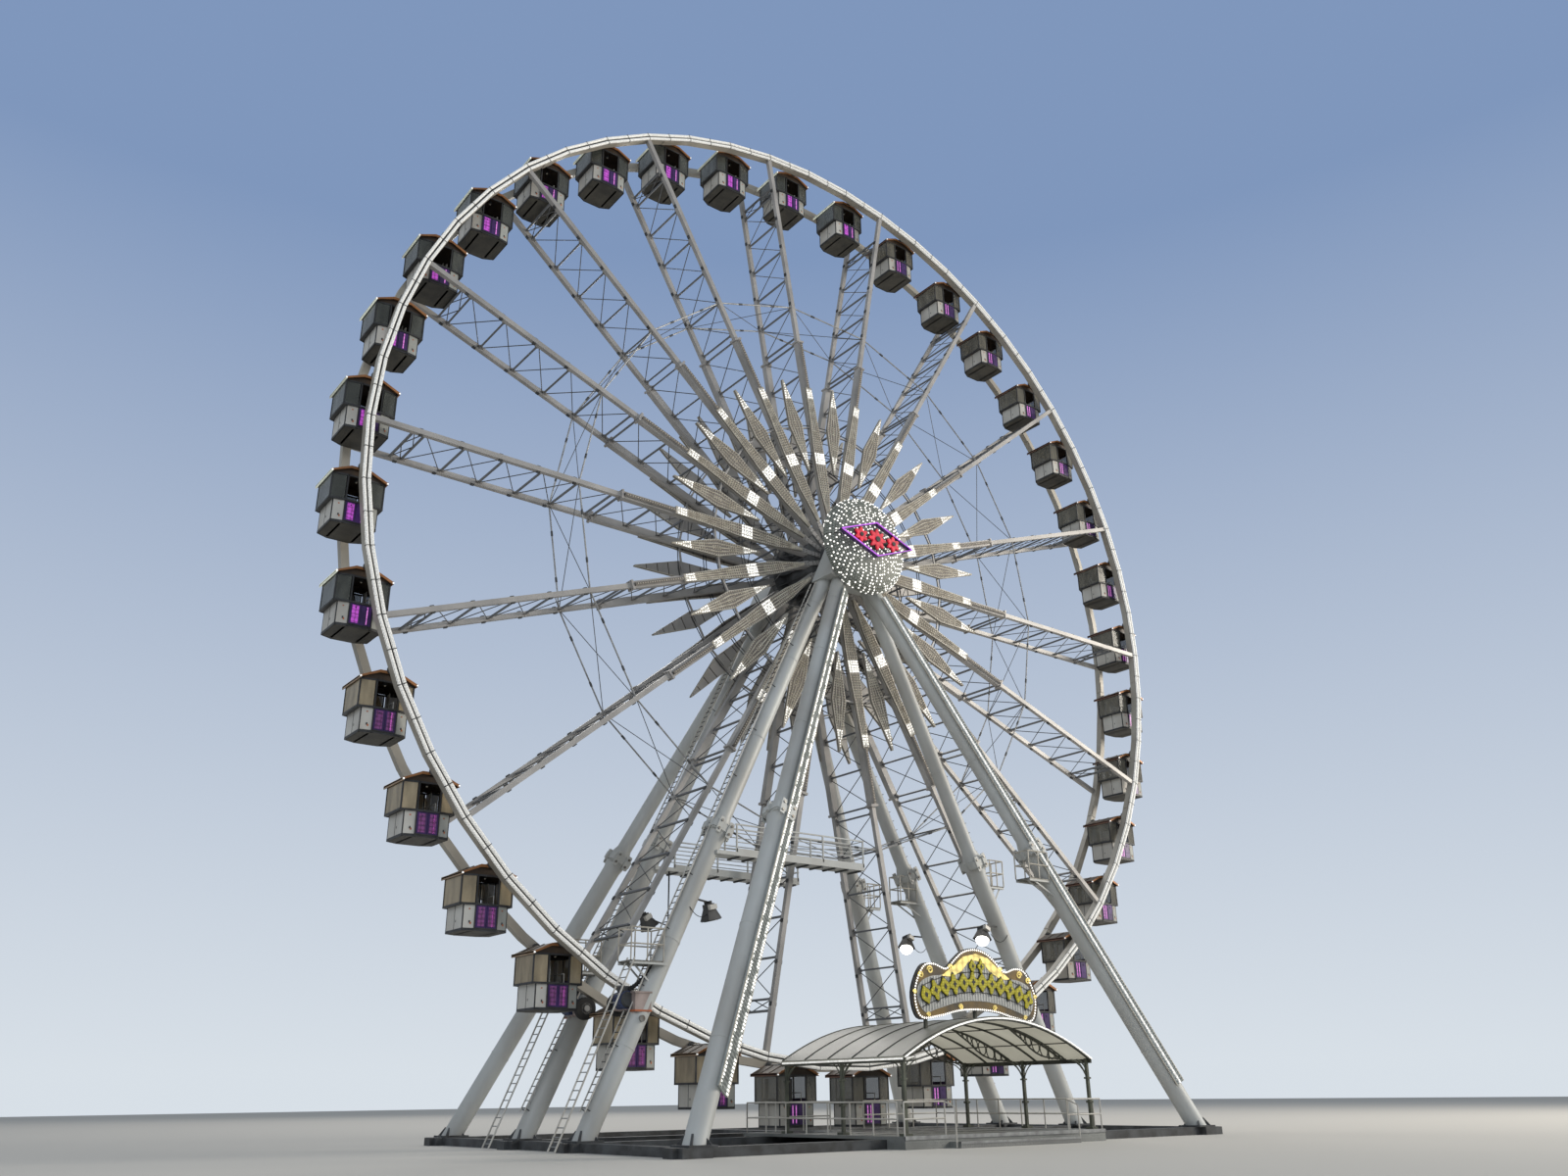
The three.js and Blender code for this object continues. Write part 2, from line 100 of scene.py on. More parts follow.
def addCamera(settings):
    yaw, pitch, roll = settings["yaw"], settings["pitch"], settings["roll"]
    look = Vector((math.sin(yaw) * math.cos(pitch), math.cos(yaw) * math.cos(pitch), math.sin(pitch)))
    right = Vector((math.cos(yaw), -math.sin(yaw), 0))
    above = right.cross(look)
    turnedRight = right * math.cos(roll) + above * math.sin(roll)
    turnedAbove = above * math.cos(roll) - right * math.sin(roll)
    data = bpy.data.cameras.new("photo camera")
    data.lens, data.sensor_width, data.clip_end = settings["lens"], settings["sensor"], settings["reach"]
    item = addToScene("photo camera", data)
    axes = Matrix((turnedRight, turnedAbove, -look)).transposed().to_4x4()
    item.matrix_world = Matrix.Translation(settings["place"]) @ axes
    bpy.context.scene.camera = item


addCamera(camera)


# Nodes of materials and of geometry: values and links by socket, settings by name

def setInputs(tree, node, values):
    for socket, value in dict(values).items():
        if isinstance(value, bpy.types.NodeSocket):
            tree.links.new(value, node.inputs[socket])
        else:
            node.inputs[socket].default_value = value


def addNode(tree, kind, values=(), **settings):
    node = tree.nodes.new(kind)
    for label, value in settings.items():
        setattr(node, label, value)
    setInputs(tree, node, values)
    return node.outputs


def texture(tree, kind, scale, stretch=(1, 1, 1), **values):
    place = addNode(tree, "ShaderNodeTexCoord")["Object"]
    stretched = addNode(tree, "ShaderNodeMapping", {"Vector": place, "Scale": stretch})["Vector"]
    return addNode(tree, kind, {"Vector": stretched, "Scale": scale, **values})


def noiseNode(tree, scale, detail=4.0, stretch=(1, 1, 1)):
    return texture(tree, "ShaderNodeTexNoise", scale, stretch, Detail=detail)["Fac"]


def cellNode(tree, scale):
    return texture(tree, "ShaderNodeTexVoronoi", scale, Randomness=0.25)["Distance"]


def rampNode(tree, factor, low, high, lowAt=0.35, highAt=0.65):
    colour = addNode(tree, "ShaderNodeValToRGB", {"Fac": factor})["Color"]
    for stop, at, tint in zip(colour.node.color_ramp.elements, (lowAt, highAt), (low, high)):
        stop.position, stop.color = at, (*tint, 1)
    return colour


def mixNode(tree, factor, first, second):
    values = {0: factor, 6: first, 7: second}
    values = {socket: (*value, 1) if isinstance(value, tuple) else value for socket, value in values.items()}
    return addNode(tree, "ShaderNodeMix", values, data_type="RGBA")[2]


def bumpNode(tree, height, strength):
    return addNode(tree, "ShaderNodeBump",
                   {"Strength": strength, "Distance": 0.003, "Height": height})["Normal"]


def spreadNode(tree, factor, low, high):
    return addNode(tree, "ShaderNodeMapRange", {"Value": factor, "To Min": low, "To Max": high})["Result"]


def dimmed(colour, share):
    return tuple(channel * share for channel in colour)


def newMaterial(name):
    material = bpy.data.materials.new(name)
    material.use_nodes = True
    return material, material.node_tree, material.node_tree.nodes["Principled BSDF"]


# Painted or bare metal with weathered patches, streaks and a fine grain; on the show board frame the lighter
# patches are painted gold reflections
def paint(name, clean, wearAndSheen, roughness=0.5, metallic=0.0, scale=1.6, stretch=(1, 1, 1), grain=60, bump=0.15):
    material, tree, shader = newMaterial(name)
    fine = noiseNode(tree, grain, 2.0)
    setInputs(tree, shader, {
        "Base Color": rampNode(tree, noiseNode(tree, scale, 6.0, stretch), wearAndSheen, clean), "Metallic": metallic,
        "Roughness": spreadNode(tree, fine, roughness - 0.1, roughness + 0.1),
        "Normal": bumpNode(tree, fine, bump)})
    return material


# Thin sheet with painted light: a glow in its own colour stands in for daylight coming through it
def lit(name, strength, *settings):
    material = paint(name, *settings)
    shader = material.node_tree.nodes["Principled BSDF"]
    colour = shader.inputs["Base Color"].links[0].from_socket
    setInputs(material.node_tree, shader, {"Emission Strength": strength, "Emission Color": colour})
    return material


# A lamp cover whose light is broken up by the lamps behind it; the same glow also gives the painted
# highlights of the cabins' left eaves and the show board's gold
def lamp(name, colour, strength, scale=30, dim=0.7):
    material, tree, shader = newMaterial(name)
    glow = rampNode(tree, cellNode(tree, scale), colour, dimmed(colour, dim), 0.3, 0.6)
    setInputs(tree, shader, {"Roughness": 0.35, "Emission Strength": strength, "Emission Color": glow,
                             "Base Color": glow})
    return material


# Sheet with a pattern of small holes or knobs that works at any angle of the wheel
def pattern(name, face, hole, scale, roughness=0.6, metallic=0.2, strength=0.4):
    material, tree, shader = newMaterial(name)
    cells, patches = cellNode(tree, scale), noiseNode(tree, 1.3, 5.0)
    mask = rampNode(tree, cells, (1, 1, 1), (0, 0, 0), 0.34, 0.5)
    setInputs(tree, shader, {
        "Base Color": mixNode(tree, mask, rampNode(tree, patches, dimmed(face, 0.72), face), hole),
        "Metallic": metallic, "Roughness": spreadNode(tree, patches, roughness - 0.1, roughness + 0.15),
        "Normal": bumpNode(tree, cells, strength)})
    return material


def glass(name, tint, alpha, roughness=0.08):
    material, tree, shader = newMaterial(name)
    streaks = noiseNode(tree, 5, 4.0, (1, 1, 0.3))
    setInputs(tree, shader, {"Base Color": rampNode(tree, streaks, dimmed(tint, 0.6), tint), "Alpha": alpha,
                             "Roughness": spreadNode(tree, streaks, roughness, roughness + 0.15)})
    return material


# Chords are pale and everything between the two wheel faces is darker
def spokeFinish(name, chord, struts, edge=0.552):
    material = paint(name, chord, dimmed(chord, 0.7), 0.45, 0.1, 1.4)
    tree = material.node_tree
    colour = tree.nodes["Principled BSDF"].inputs["Base Color"]
    across = addNode(tree, "ShaderNodeSeparateXYZ", {0: addNode(tree, "ShaderNodeTexCoord")["Object"]})["Y"]
    depth = addNode(tree, "ShaderNodeMath", {0: across}, operation="ABSOLUTE")[0]
    within = addNode(tree, "ShaderNodeMath", {0: depth, 1: edge}, operation="LESS_THAN")[0]
    tree.links.new(mixNode(tree, within, colour.links[0].from_socket, struts), colour)
    return material


finishRows = {
    spokeFinish: {
        "fanPaint": ((0.49, 0.47, 0.45), (0.15, 0.155, 0.165)),
    },
    paint: {
        "spokePaint": ((0.49, 0.47, 0.45), (0.34, 0.32, 0.31), 0.45, 0.1, 1.4),
        "rodSteel": ((0.15, 0.155, 0.165), (0.09, 0.09, 0.09), 0.5, 0.2, 3.0),
        "rimPaint": ((0.50, 0.47, 0.41), (0.36, 0.33, 0.28), 0.5, 0.1, 1.1),
        "hubSteel": ((0.17, 0.175, 0.18), (0.09, 0.09, 0.09), 0.55, 0.3, 5.0),
        "legPaint": ((0.60, 0.62, 0.61), (0.46, 0.455, 0.43), 0.5, 0.05, 0.9, (1, 1, 0.35)),
        "darkSteel": ((0.11, 0.115, 0.12), (0.06, 0.06, 0.06), 0.55, 0.4, 4.0),
        "galvanised": ((0.42, 0.43, 0.43), (0.26, 0.26, 0.26), 0.5, 0.5, 6.0),
        "pinSteel": ((0.30, 0.30, 0.29), (0.16, 0.14, 0.12), 0.4, 0.7, 9.0),
        "cabinWhite": ((0.64, 0.62, 0.57), (0.50, 0.47, 0.42), 0.4, 0.0, 2.2, (1, 1, 0.5)),
        "cabinTrim": ((0.055, 0.055, 0.058), (0.03, 0.03, 0.03), 0.45, 0.2, 5.0),
        "cabinUnder": ((0.085, 0.078, 0.062), (0.045, 0.042, 0.036), 0.6, 0.1, 3.0),
        "copperTrim": ((0.46, 0.20, 0.075), (0.30, 0.13, 0.05), 0.45, 0.25, 4.0),
        "roofDark": ((0.10, 0.075, 0.055), (0.06, 0.045, 0.035), 0.6, 0.1, 3.0),
        "benchSeat": ((0.10, 0.05, 0.13), (0.05, 0.03, 0.07), 0.6, 0.0, 8.0, (1, 1, 1), 120),
        # left eave of cabins 1 to 18 in painted shade, a darker copy of the copper; of cabins 19 to 24 in a
        # tan painted highlight
        "rustTrim": ((0.27, 0.145, 0.10), (0.16, 0.085, 0.06), 0.5, 0.1, 4.0),
        "eaveTan": ((0.50, 0.36, 0.24), (0.34, 0.22, 0.13), 0.45, 0.1, 4.0),
        # painted shade: the cabin white made greyer for the front right facet, which turns away from the
        # light
        "cabinGrey": ((0.44, 0.45, 0.42), (0.33, 0.33, 0.30), 0.45, 0.0, 2.2),
        "ceilingBrown": ((0.060, 0.036, 0.020), (0.035, 0.022, 0.014), 0.55, 0.0, 5.0),
        "doorPurple": ((0.075, 0.03, 0.16), (0.04, 0.018, 0.09), 0.35, 0.1, 4.0),
        "cabinMark": ((0.62, 0.16, 0.05), (0.40, 0.12, 0.05), 0.5, 0.0, 9.0),
        "lanceFrame": ((0.56, 0.53, 0.46), (0.38, 0.35, 0.30), 0.5, 0.1, 5.0),
        "lanceRib": ((0.12, 0.10, 0.08), (0.07, 0.06, 0.05), 0.6, 0.2, 5.0),
        "bulbDull": ((0.80, 0.73, 0.60), (0.62, 0.55, 0.44), 0.3, 0.0, 20.0),
        "bulbString": ((0.80, 0.75, 0.64), (0.46, 0.41, 0.33), 0.4, 0.0, 7.0),
        "bulbSilver": ((0.62, 0.66, 0.62), (0.42, 0.45, 0.42), 0.3, 0.1, 3.0),
        "netPanel": ((0.42, 0.45, 0.44), (0.30, 0.33, 0.32), 0.4, 0.3, 6.0),
        "netSilver": ((0.50, 0.52, 0.52), (0.36, 0.38, 0.38), 0.4, 0.2, 6.0),
        "netSlot": ((0.06, 0.075, 0.075), (0.03, 0.035, 0.035), 0.7, 0.1, 6.0),
        "archIron": ((0.085, 0.088, 0.068), (0.05, 0.052, 0.042), 0.5, 0.2, 5.0),
        "postPaint": ((0.13, 0.14, 0.105), (0.08, 0.085, 0.065), 0.5, 0.1, 5.0),
        "signGrid": ((0.86, 0.86, 0.82), (0.60, 0.60, 0.57), 0.4, 0.1, 5.0),
        # dark bronze with painted gold reflections in lighter patches
        "signFrame": ((0.12, 0.105, 0.085), (0.30, 0.20, 0.075), 0.3, 0.3, 2.6),
        "rubber": ((0.035, 0.035, 0.036), (0.02, 0.02, 0.02), 0.85, 0.0, 8.0, (1, 1, 1), 140, 0.4),
        "motorBlue": ((0.040, 0.065, 0.17), (0.025, 0.04, 0.10), 0.4, 0.2, 6.0),
        "motorGrey": ((0.44, 0.36, 0.34), (0.30, 0.24, 0.22), 0.5, 0.2, 5.0),
        "floodDark": ((0.035, 0.035, 0.038), (0.02, 0.02, 0.02), 0.5, 0.2, 6.0),
        "floodGrey": ((0.10, 0.10, 0.10), (0.06, 0.06, 0.06), 0.5, 0.2, 6.0),
    },
    lit: {
        # painted light: the canopy sheet glows, its underside a lighter copy that glows more, for daylight
        # through it
        "roofSheet": (0.15, (0.225, 0.222, 0.190), (0.15, 0.152, 0.135), 0.4, 0.0, 0.9, (0.4, 1, 1)),
        "roofUnder": (0.45, (0.60, 0.58, 0.48), (0.46, 0.44, 0.36), 0.45, 0.0, 0.9, (0.4, 1, 1)),
    },
    glass: {
        "smokedGlass": ((0.23, 0.25, 0.255), 0.68),
        "frontGlass": ((0.22, 0.205, 0.165), 0.74),
        "tanGlass": ((0.54, 0.44, 0.29), 0.82),
        "darkGlass": ((0.115, 0.12, 0.105), 0.72),
        "oliveGlass": ((0.27, 0.25, 0.20), 0.60),
    },
    lamp: {
        "doorSoft": ((0.20, 0.055, 0.20), 0.20, 14, 0.40),
        # glowing cream painted highlight on the left eave of cabins 25 to 36
        "eaveCream": ((0.86, 0.90, 0.74), 0.42, 16, 0.5),
        "doorGlow": ((0.52, 0.085, 0.58), 0.46, 14, 0.40),
        "doorPink": ((0.80, 0.24, 0.74), 0.62, 14, 0.6),
        "lampWhite": ((1.0, 0.985, 0.95), 0.85, 24, 0.55),
        "rimLamp": ((0.86, 0.85, 0.81), 0.45, 40, 0.5),
        "patchLamp": ((0.90, 0.90, 0.87), 0.55, 13, 0.30),
        "bulbLit": ((1.0, 0.98, 0.93), 1.4, 60, 0.9),
        "floodLens": ((1.0, 0.97, 0.88), 9.0, 12, 0.9),
        "neonPurple": ((0.56, 0.14, 0.84), 0.75, 30, 0.8),
        "neonRed": ((0.86, 0.02, 0.06), 0.45, 9, 0.6),
        # gold with a painted highlight: the crest and scrolls glow as if sunlit
        "signGold": ((0.98, 0.78, 0.26), 0.62, 7, 0.55),
        "signYellow": ((0.62, 0.55, 0.03), 0.30, 22, 0.5),
    },
    pattern: {
        "lanceMesh": ((0.27, 0.242, 0.215), (0.13, 0.116, 0.103), 46, 0.6, 0.1),
        "domePanel": ((0.25, 0.26, 0.225), (0.13, 0.14, 0.12), 20, 0.5, 0.1),
        "deckPlate": ((0.30, 0.31, 0.30), (0.22, 0.22, 0.22), 26, 0.5, 0.6, 0.7),
        "walkGrid": ((0.34, 0.33, 0.30), (0.06, 0.06, 0.06), 34, 0.6, 0.5),
        "signBack": ((0.62, 0.62, 0.60), (0.44, 0.44, 0.42), 40, 0.6, 0.1),
    },
}
finishes = {name: kind(name, *values) for kind, rows in finishRows.items() for name, values in rows.items()}
print("finishes made,", len(finishes))


# Plain shapes gathered into one mesh

boxFaces = ((0, 3, 2, 1), (4, 5, 6, 7), (0, 1, 5, 4), (1, 2, 6, 5), (2, 3, 7, 6), (3, 0, 4, 7))
upright = Matrix(((1, 0, 0, 0), (0, 0, -1, 0), (0, 1, 0, 0), (0, 0, 0, 1)))  # X, Y of an outline become X, Z
crosswise = Matrix(((0, 0, 1, 0), (1, 0, 0, 0), (0, 1, 0, 0), (0, 0, 0, 1)))  # X, Y of an outline become Y, Z


# A new shape, filled by the function given
def built(build, *settings):
    shape = {"points": [], "faces": [], "finish": []}
    build(shape, *settings)
    return shape


def addFaces(shape, points, faces, finish):
    first = len(shape["points"])
    shape["points"].extend(tuple(point) for point in points)
    shape["faces"].extend([first + corner for corner in face] for face in faces)
    shape["finish"].extend([finish] * len(faces))


def addBox(shape, near, far, finish, place=Matrix()):
    (x0, x1), (y0, y1), (z0, z1) = (sorted(pair) for pair in zip(near, far))
    plan = ((x0, y0), (x1, y0), (x1, y1), (x0, y1))
    addFaces(shape, [place @ Vector((x, y, z)) for z in (z0, z1) for x, y in plan], boxFaces, finish)


# A straight run from one point to another: local Z runs along it, local Y keeps to the side given
def along(start, end, side=(0, 1, 0)):
    start, end, side = Vector(start), Vector(end), Vector(side)
    run = (end - start).normalized()
    if abs(run.dot(side)) > 0.999:
        side = Vector((0, 0, 1)) if abs(run.z) < 0.9 else Vector((1, 0, 0))
    depth = (side - run * side.dot(run)).normalized()
    axes = Matrix((depth.cross(run), depth, run)).transposed().to_4x4()
    return Matrix.Translation(start) @ axes, (end - start).length


def addBar(shape, start, end, width, depth, finish, side=(0, 1, 0)):
    place, length = along(start, end, side)
    addBox(shape, (-width / 2, -depth / 2, 0), (width / 2, depth / 2, length), finish, place)


def sideFaces(count, rings, first=0):
    return [[first + ring * count + at, first + ring * count + (at + 1) % count,
             first + (ring + 1) * count + (at + 1) % count, first + (ring + 1) * count + at]
            for ring in range(rings - 1) for at in range(count)]


def addSlab(shape, outline, low, high, finish, place=Matrix()):
    outline = list(outline)
    if sum(a[0] * b[1] - b[0] * a[1] for a, b in edges(outline)) <= 0:
        outline.reverse()
    count = len(outline)
    points = [place @ Vector((x, y, z)) for z in (low, high) for x, y in outline]
    caps = [list(reversed(range(count))), list(range(count, 2 * count))]
    addFaces(shape, points, caps + sideFaces(count, 2), finish)


# Outline in X and Z, pushed along Y
def addPlate(shape, outline, fromY, toY, finish, place=Matrix()):
    addSlab(shape, outline, -max(fromY, toY), -min(fromY, toY), finish, place @ upright)


# A profile of (radius, height) turned about local Z, from the bottom up
def addTurned(shape, profile, count, finish, place=Matrix()):
    points, rings = [], []
    for radius, height in profile:
        steps = count if radius > 1e-6 else 1
        rings.append(list(range(len(points), len(points) + steps)))
        points += [place @ Vector((*round2(radius, 2 * math.pi * step / count), height))
                   for step in range(steps)]
    faces = []
    for lower, upper in zip(rings, rings[1:]):
        for step in range(count):
            after = (step + 1) % count
            face = [lower[step % len(lower)], lower[after % len(lower)]]
            face += [upper[after % len(upper)], upper[step % len(upper)]]
            faces.append([corner for at, corner in enumerate(face) if corner not in face[:at]])
    faces += [ring for ring in (rings[0][::-1], rings[-1]) if len(ring) > 1]
    addFaces(shape, points, [face for face in faces if len(face) > 2], finish)


def addTube(shape, start, end, radius, finish, count=10, endRadius=None):
    place, length = along(start, end)
    addTurned(shape, [(radius, 0), (radius if endRadius is None else endRadius, length)], count, finish,
              place)


def newMesh(name, points, lines=(), faces=()):
    mesh = bpy.data.meshes.new(name)
    mesh.from_pydata([tuple(point) for point in points], lines, faces)
    return mesh


def finishPiece(piece, body, smooth):
    if smooth:
        piece.data.shade_smooth()
        piece.data.set_sharp_from_angle(angle=math.radians(smooth))
    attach(piece, body)


def makePiece(name, shape, smooth=None, body="supports", node=None):
    mesh = newMesh(name, shape["points"], (), shape["faces"])
    used = sorted(set(shape["finish"]))
    for finish in used:
        mesh.materials.append(finishes[finish])
    mesh.polygons.foreach_set("material_index", [used.index(finish) for finish in shape["finish"]])
    piece = addToScene(name, mesh)
    finishPiece(piece, body, smooth)
    if node:
        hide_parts(node)


# Geometry Nodes: rods, studs and copies, each taken round the axle

def newTree(name, settings):
    tree = bpy.data.node_groups.new(name, "GeometryNodeTree")
    tree.is_modifier = True
    ring = (("Copies", "Int"), ("Step", "Float"), ("Phase", "Float"), ("Centre", "Vector"),
            ("Material", "Material"))
    for label, kind in (("Geometry", "Geometry"), *settings, *ring):
        tree.interface.new_socket(label, in_out="INPUT", socket_type="NodeSocket" + kind)
    tree.interface.new_socket("Geometry", in_out="OUTPUT", socket_type="NodeSocketGeometry")
    return tree, tree.nodes.new("NodeGroupInput").outputs


# Copies of the geometry about the axle, realized and given their material
def finishTree(tree, inputs, geometry):
    line = {"Count": inputs["Copies"], "Start Location": inputs["Centre"], "Offset": (0, 0, 0)}
    places = addNode(tree, "GeometryNodeMeshLine", line)["Mesh"]
    number = addNode(tree, "GeometryNodeInputIndex")["Index"]
    swept = addNode(tree, "ShaderNodeMath", {0: number, 1: inputs["Step"]}, operation="MULTIPLY")["Value"]
    turned = addNode(tree, "ShaderNodeMath", {0: swept, 1: inputs["Phase"]}, operation="ADD")["Value"]
    rotation = addNode(tree, "ShaderNodeCombineXYZ", {"Y": turned})[0]
    copies = addNode(tree, "GeometryNodeInstanceOnPoints",
                     {"Points": places, "Instance": geometry, "Rotation": rotation})
    solid = addNode(tree, "GeometryNodeRealizeInstances", {"Geometry": copies["Instances"]})["Geometry"]
    painted = addNode(tree, "GeometryNodeSetMaterial", {"Geometry": solid, "Material": inputs["Material"]})
    addNode(tree, "NodeGroupOutput", {"Geometry": painted["Geometry"]})
    return tree


def makeRodTree():
    tree, inputs = newTree("Round rods", (("Radius", "Float"), ("Sides", "Int")))
    paths = addNode(tree, "GeometryNodeMeshToCurve", {"Mesh": inputs["Geometry"]})["Curve"]
    circle = {"Resolution": inputs["Sides"], "Radius": inputs["Radius"]}
    section = addNode(tree, "GeometryNodeCurvePrimitiveCircle", circle)["Curve"]
    sweep = {"Curve": paths, "Profile Curve": section, "Fill Caps": True}
    rods = addNode(tree, "GeometryNodeCurveToMesh", sweep)
    return finishTree(tree, inputs, rods["Mesh"])


def makeStudTree():
    tree, inputs = newTree("Studs on a face", (("Stud", "Object"), ("Size", "Float")))
    facing = addNode(tree, "GeometryNodeInputNamedAttribute", {"Name": "facing"},
                     data_type="FLOAT_VECTOR")["Attribute"]
    turned = addNode(tree, "FunctionNodeAlignRotationToVector", {"Vector": facing}, axis="Z")["Rotation"]
    stud = addNode(tree, "GeometryNodeObjectInfo", {"Object": inputs["Stud"]})["Geometry"]
    scatter = {"Points": inputs["Geometry"], "Instance": stud, "Rotation": turned, "Scale": inputs["Size"]}
    studs = addNode(tree, "GeometryNodeInstanceOnPoints", scatter)
    return finishTree(tree, inputs, studs["Instances"])


def makeCopyTree():
    tree, inputs = newTree("Copies round the axle", ())
    return finishTree(tree, inputs, inputs["Geometry"])


rodTree, studTree, copyTree = makeRodTree(), makeStudTree(), makeCopyTree()
roundTheAxle = {"Copies": wheel["spokes"], "Step": spokeStep, "Phase": wheel["phase"], "Centre": hub}
betweenSpokes = {**roundTheAxle, "Phase": wheel["phase"] + spokeStep / 2}
rimRing = {**roundTheAxle, "Copies": wheel["rimSides"], "Step": sideStep}
cabinRing = {**roundTheAxle, "Copies": wheel["cabins"], "Step": spokeStep / 2,
             "Phase": wheel["phase"] + spokeStep / 4}
once = {"Copies": 1, "Step": 0.0, "Phase": 0.0, "Centre": (0, 0, 0)}


# What is repeated round the axle rides on the wheel, and the slot comes from the finish
def runTree(mesh, tree, values, finish, ring, smooth):
    piece = addToScene(mesh.name, mesh)
    modifier = piece.modifiers.new(tree.name, "NODES")
    modifier.node_group = tree
    values = {**ring, **values, "Material": finishes[finish]}
    for item in tree.interface.items_tree:
        if item.in_out == "INPUT" and item.name in values:
            modifier[item.identifier] = values[item.name]
    graph = bpy.context.evaluated_depsgraph_get()
    grown = bpy.data.meshes.new_from_object(piece.evaluated_get(graph), preserve_all_data_layers=True,
                                            depsgraph=graph)
    piece.modifiers.clear()
    piece.data = grown
    grown.name = piece.name
    body = "supports" if ring is once else "wheel"
    finishPiece(piece, body, smooth)


def makeRods(name, paths, radius, finish, ring=once, count=8):
    points, lines = [], []
    for path in paths:
        first = len(points)
        points.extend(path)
        lines.extend((at, at + 1) for at in range(first, len(points) - 1))
    runTree(newMesh(name, points, lines), rodTree, {"Radius": radius, "Sides": count}, finish, ring, 50)


def makeCopies(name, shape, finish, ring=roundTheAxle, smooth=None):
    runTree(newMesh(name, shape["points"], (), shape["faces"]), copyTree, {}, finish, ring, smooth)


def makeStuds(name, places, stud, size, finish, ring=once):
    mesh = newMesh(name, [point for point, facing in places])
    facings = mesh.attributes.new("facing", "FLOAT_VECTOR", "POINT")
    facings.data.foreach_set("vector", [value for point, facing in places for value in facing])
    runTree(mesh, studTree, {"Stud": stud, "Size": size}, finish, ring, 50)


# The stud shapes stay out of the scene
def makeStud(name, profile, count):
    shape = built(addTurned, profile, count, "bulbLit")
    return bpy.data.objects.new(name, newMesh(name, shape["points"], (), shape["faces"]))


bulb = makeStud("bulb", [(0.62, 0.0), (0.95, 0.45), (0, 1.15)], 6)
boltHead = makeStud("bolt head", [(1.0, 0.0), (1.0, 0.8)], 6)
bead = makeStud("bead", [(1.0, 0.0), (0.55, 0.9)], 5)
print("node trees made")


# Lattice rods, clamps and plates of the spokes, drawn for one spoke that points straight up
lattice = {
    "rodRadius": 0.010, "rodOffset": 0.012, "tieRod": 0.008, "gusset": 0.085, "gussetThick": 0.012,
    "clampLength": 0.07, "clampProud": 0.022, "clampRise": 0.10, "sleeve": 0.016, "buckle": 0.024,
    "flange": 0.10, "flangeThick": 0.022, "flangeGap": 0.002, "boltSize": 0.011, "boltReach": 0.078,
}
innerNodes = [wheel["flangeRadius"]] + [wheel["jointRadius"] - at * wheel["innerPitch"]
                                        for at in range(wheel["innerBays"], -1, -1)]
outerNodes = [wheel["outerStart"] + at * wheel["outerPitch"] for at in range(wheel["outerBays"] + 1)]
ringStart = Vector((0, 0, outerNodes[1]))
ringEnd = Matrix.Rotation(spokeStep, 3, "Y") @ ringStart
joint = wheel["jointRadius"]


def latticeRods():
    spans = [(*span, 0, chordY) for row in (innerNodes, outerNodes) for span in zip(row, row[1:])]
    spans += [(outerNodes[-1], wheel["endBeam"], centre, chordY / 2) for centre in (-chordY / 2, chordY / 2)]
    offset = lattice["rodOffset"]
    return [[(side * offset, centre - side * reach, low), (side * offset, centre + side * reach, high)]
            for low, high, centre, reach in spans for side in hands]


def latticeGussets(shape):
    size, thick = lattice["gusset"], lattice["gussetThick"] / 2
    for row, chord in ((innerNodes[1:], wheel["innerChord"]), (outerNodes, wheel["outerChord"])):
        for radius in row:
            for side in hands:
                y, tip = side * (chordY - chord / 2), side * (chordY - chord / 2 - size)
                outline = [(y, radius - size), (y, radius + size), (tip, radius + size * 0.3),
                           (tip, radius - size * 0.3)]
                addSlab(shape, outline, -thick, thick, "spokePaint", crosswise)


def latticeClamps(shape):
    half, length = wheel["outerChord"] / 2, lattice["clampLength"] / 2
    for radius in outerNodes[1:]:
        low, high = (radius + lattice["clampRise"] + shift for shift in (-length, length))
        for side in hands:
            for hand in hands:
                addBox(shape, (hand * (half - 0.02), side * chordY - 0.03, low),
                       (hand * (half + lattice["clampProud"]), side * chordY + 0.03, high), "darkSteel")


def latticeFlanges(shape):
    half, thick = lattice["flange"], lattice["flangeThick"]
    for side in hands:
        for low in (joint - thick, joint + lattice["flangeGap"]):
            addBox(shape, (-half, side * chordY - half, low), (half, side * chordY + half, low + thick),
                   "spokePaint")


def ringLine(side, low, high):
    shift = Vector((0, side * chordY, 0))
    return [ringStart.lerp(ringEnd, low) + shift, ringStart.lerp(ringEnd, high) + shift]


boltTop, boltReach = joint + lattice["flangeGap"] + lattice["flangeThick"], lattice["boltReach"]
flangeBolts = [((x, side * chordY + y, boltTop), (0, 0, 1)) for side in hands for x in (-boltReach, boltReach)
               for y in (-boltReach, 0, boltReach)]
ringRods = [[ringStart + Vector((0, -side * chordY, 0)), ringEnd + Vector((0, side * chordY, 0))]
            for side in (1, -1)]
turnbuckles = [ringLine(side, share - 0.022, share + 0.022) for side in hands for share in (0.28, 0.72)]
makeRods("ring_sleeves", [ringLine(side, 0.03, 0.97) for side in hands], lattice["sleeve"], "galvanised",
         roundTheAxle, 6)
makeRods("ring_turnbuckles", turnbuckles, lattice["buckle"], "darkSteel", roundTheAxle)
makeRods("spoke_rods", latticeRods(), lattice["rodRadius"], "rodSteel", roundTheAxle)
makeRods("ring_rods", ringRods, lattice["tieRod"], "rodSteel", roundTheAxle)
makeCopies("spoke_gussets", built(latticeGussets), "spokePaint")
makeCopies("spoke_clamps", built(latticeClamps), "darkSteel")
makeCopies("spoke_flanges", built(latticeFlanges), "spokePaint")
makeStuds("flange_bolts", flangeBolts, boltHead, lattice["boltSize"], "pinSteel", roundTheAxle)


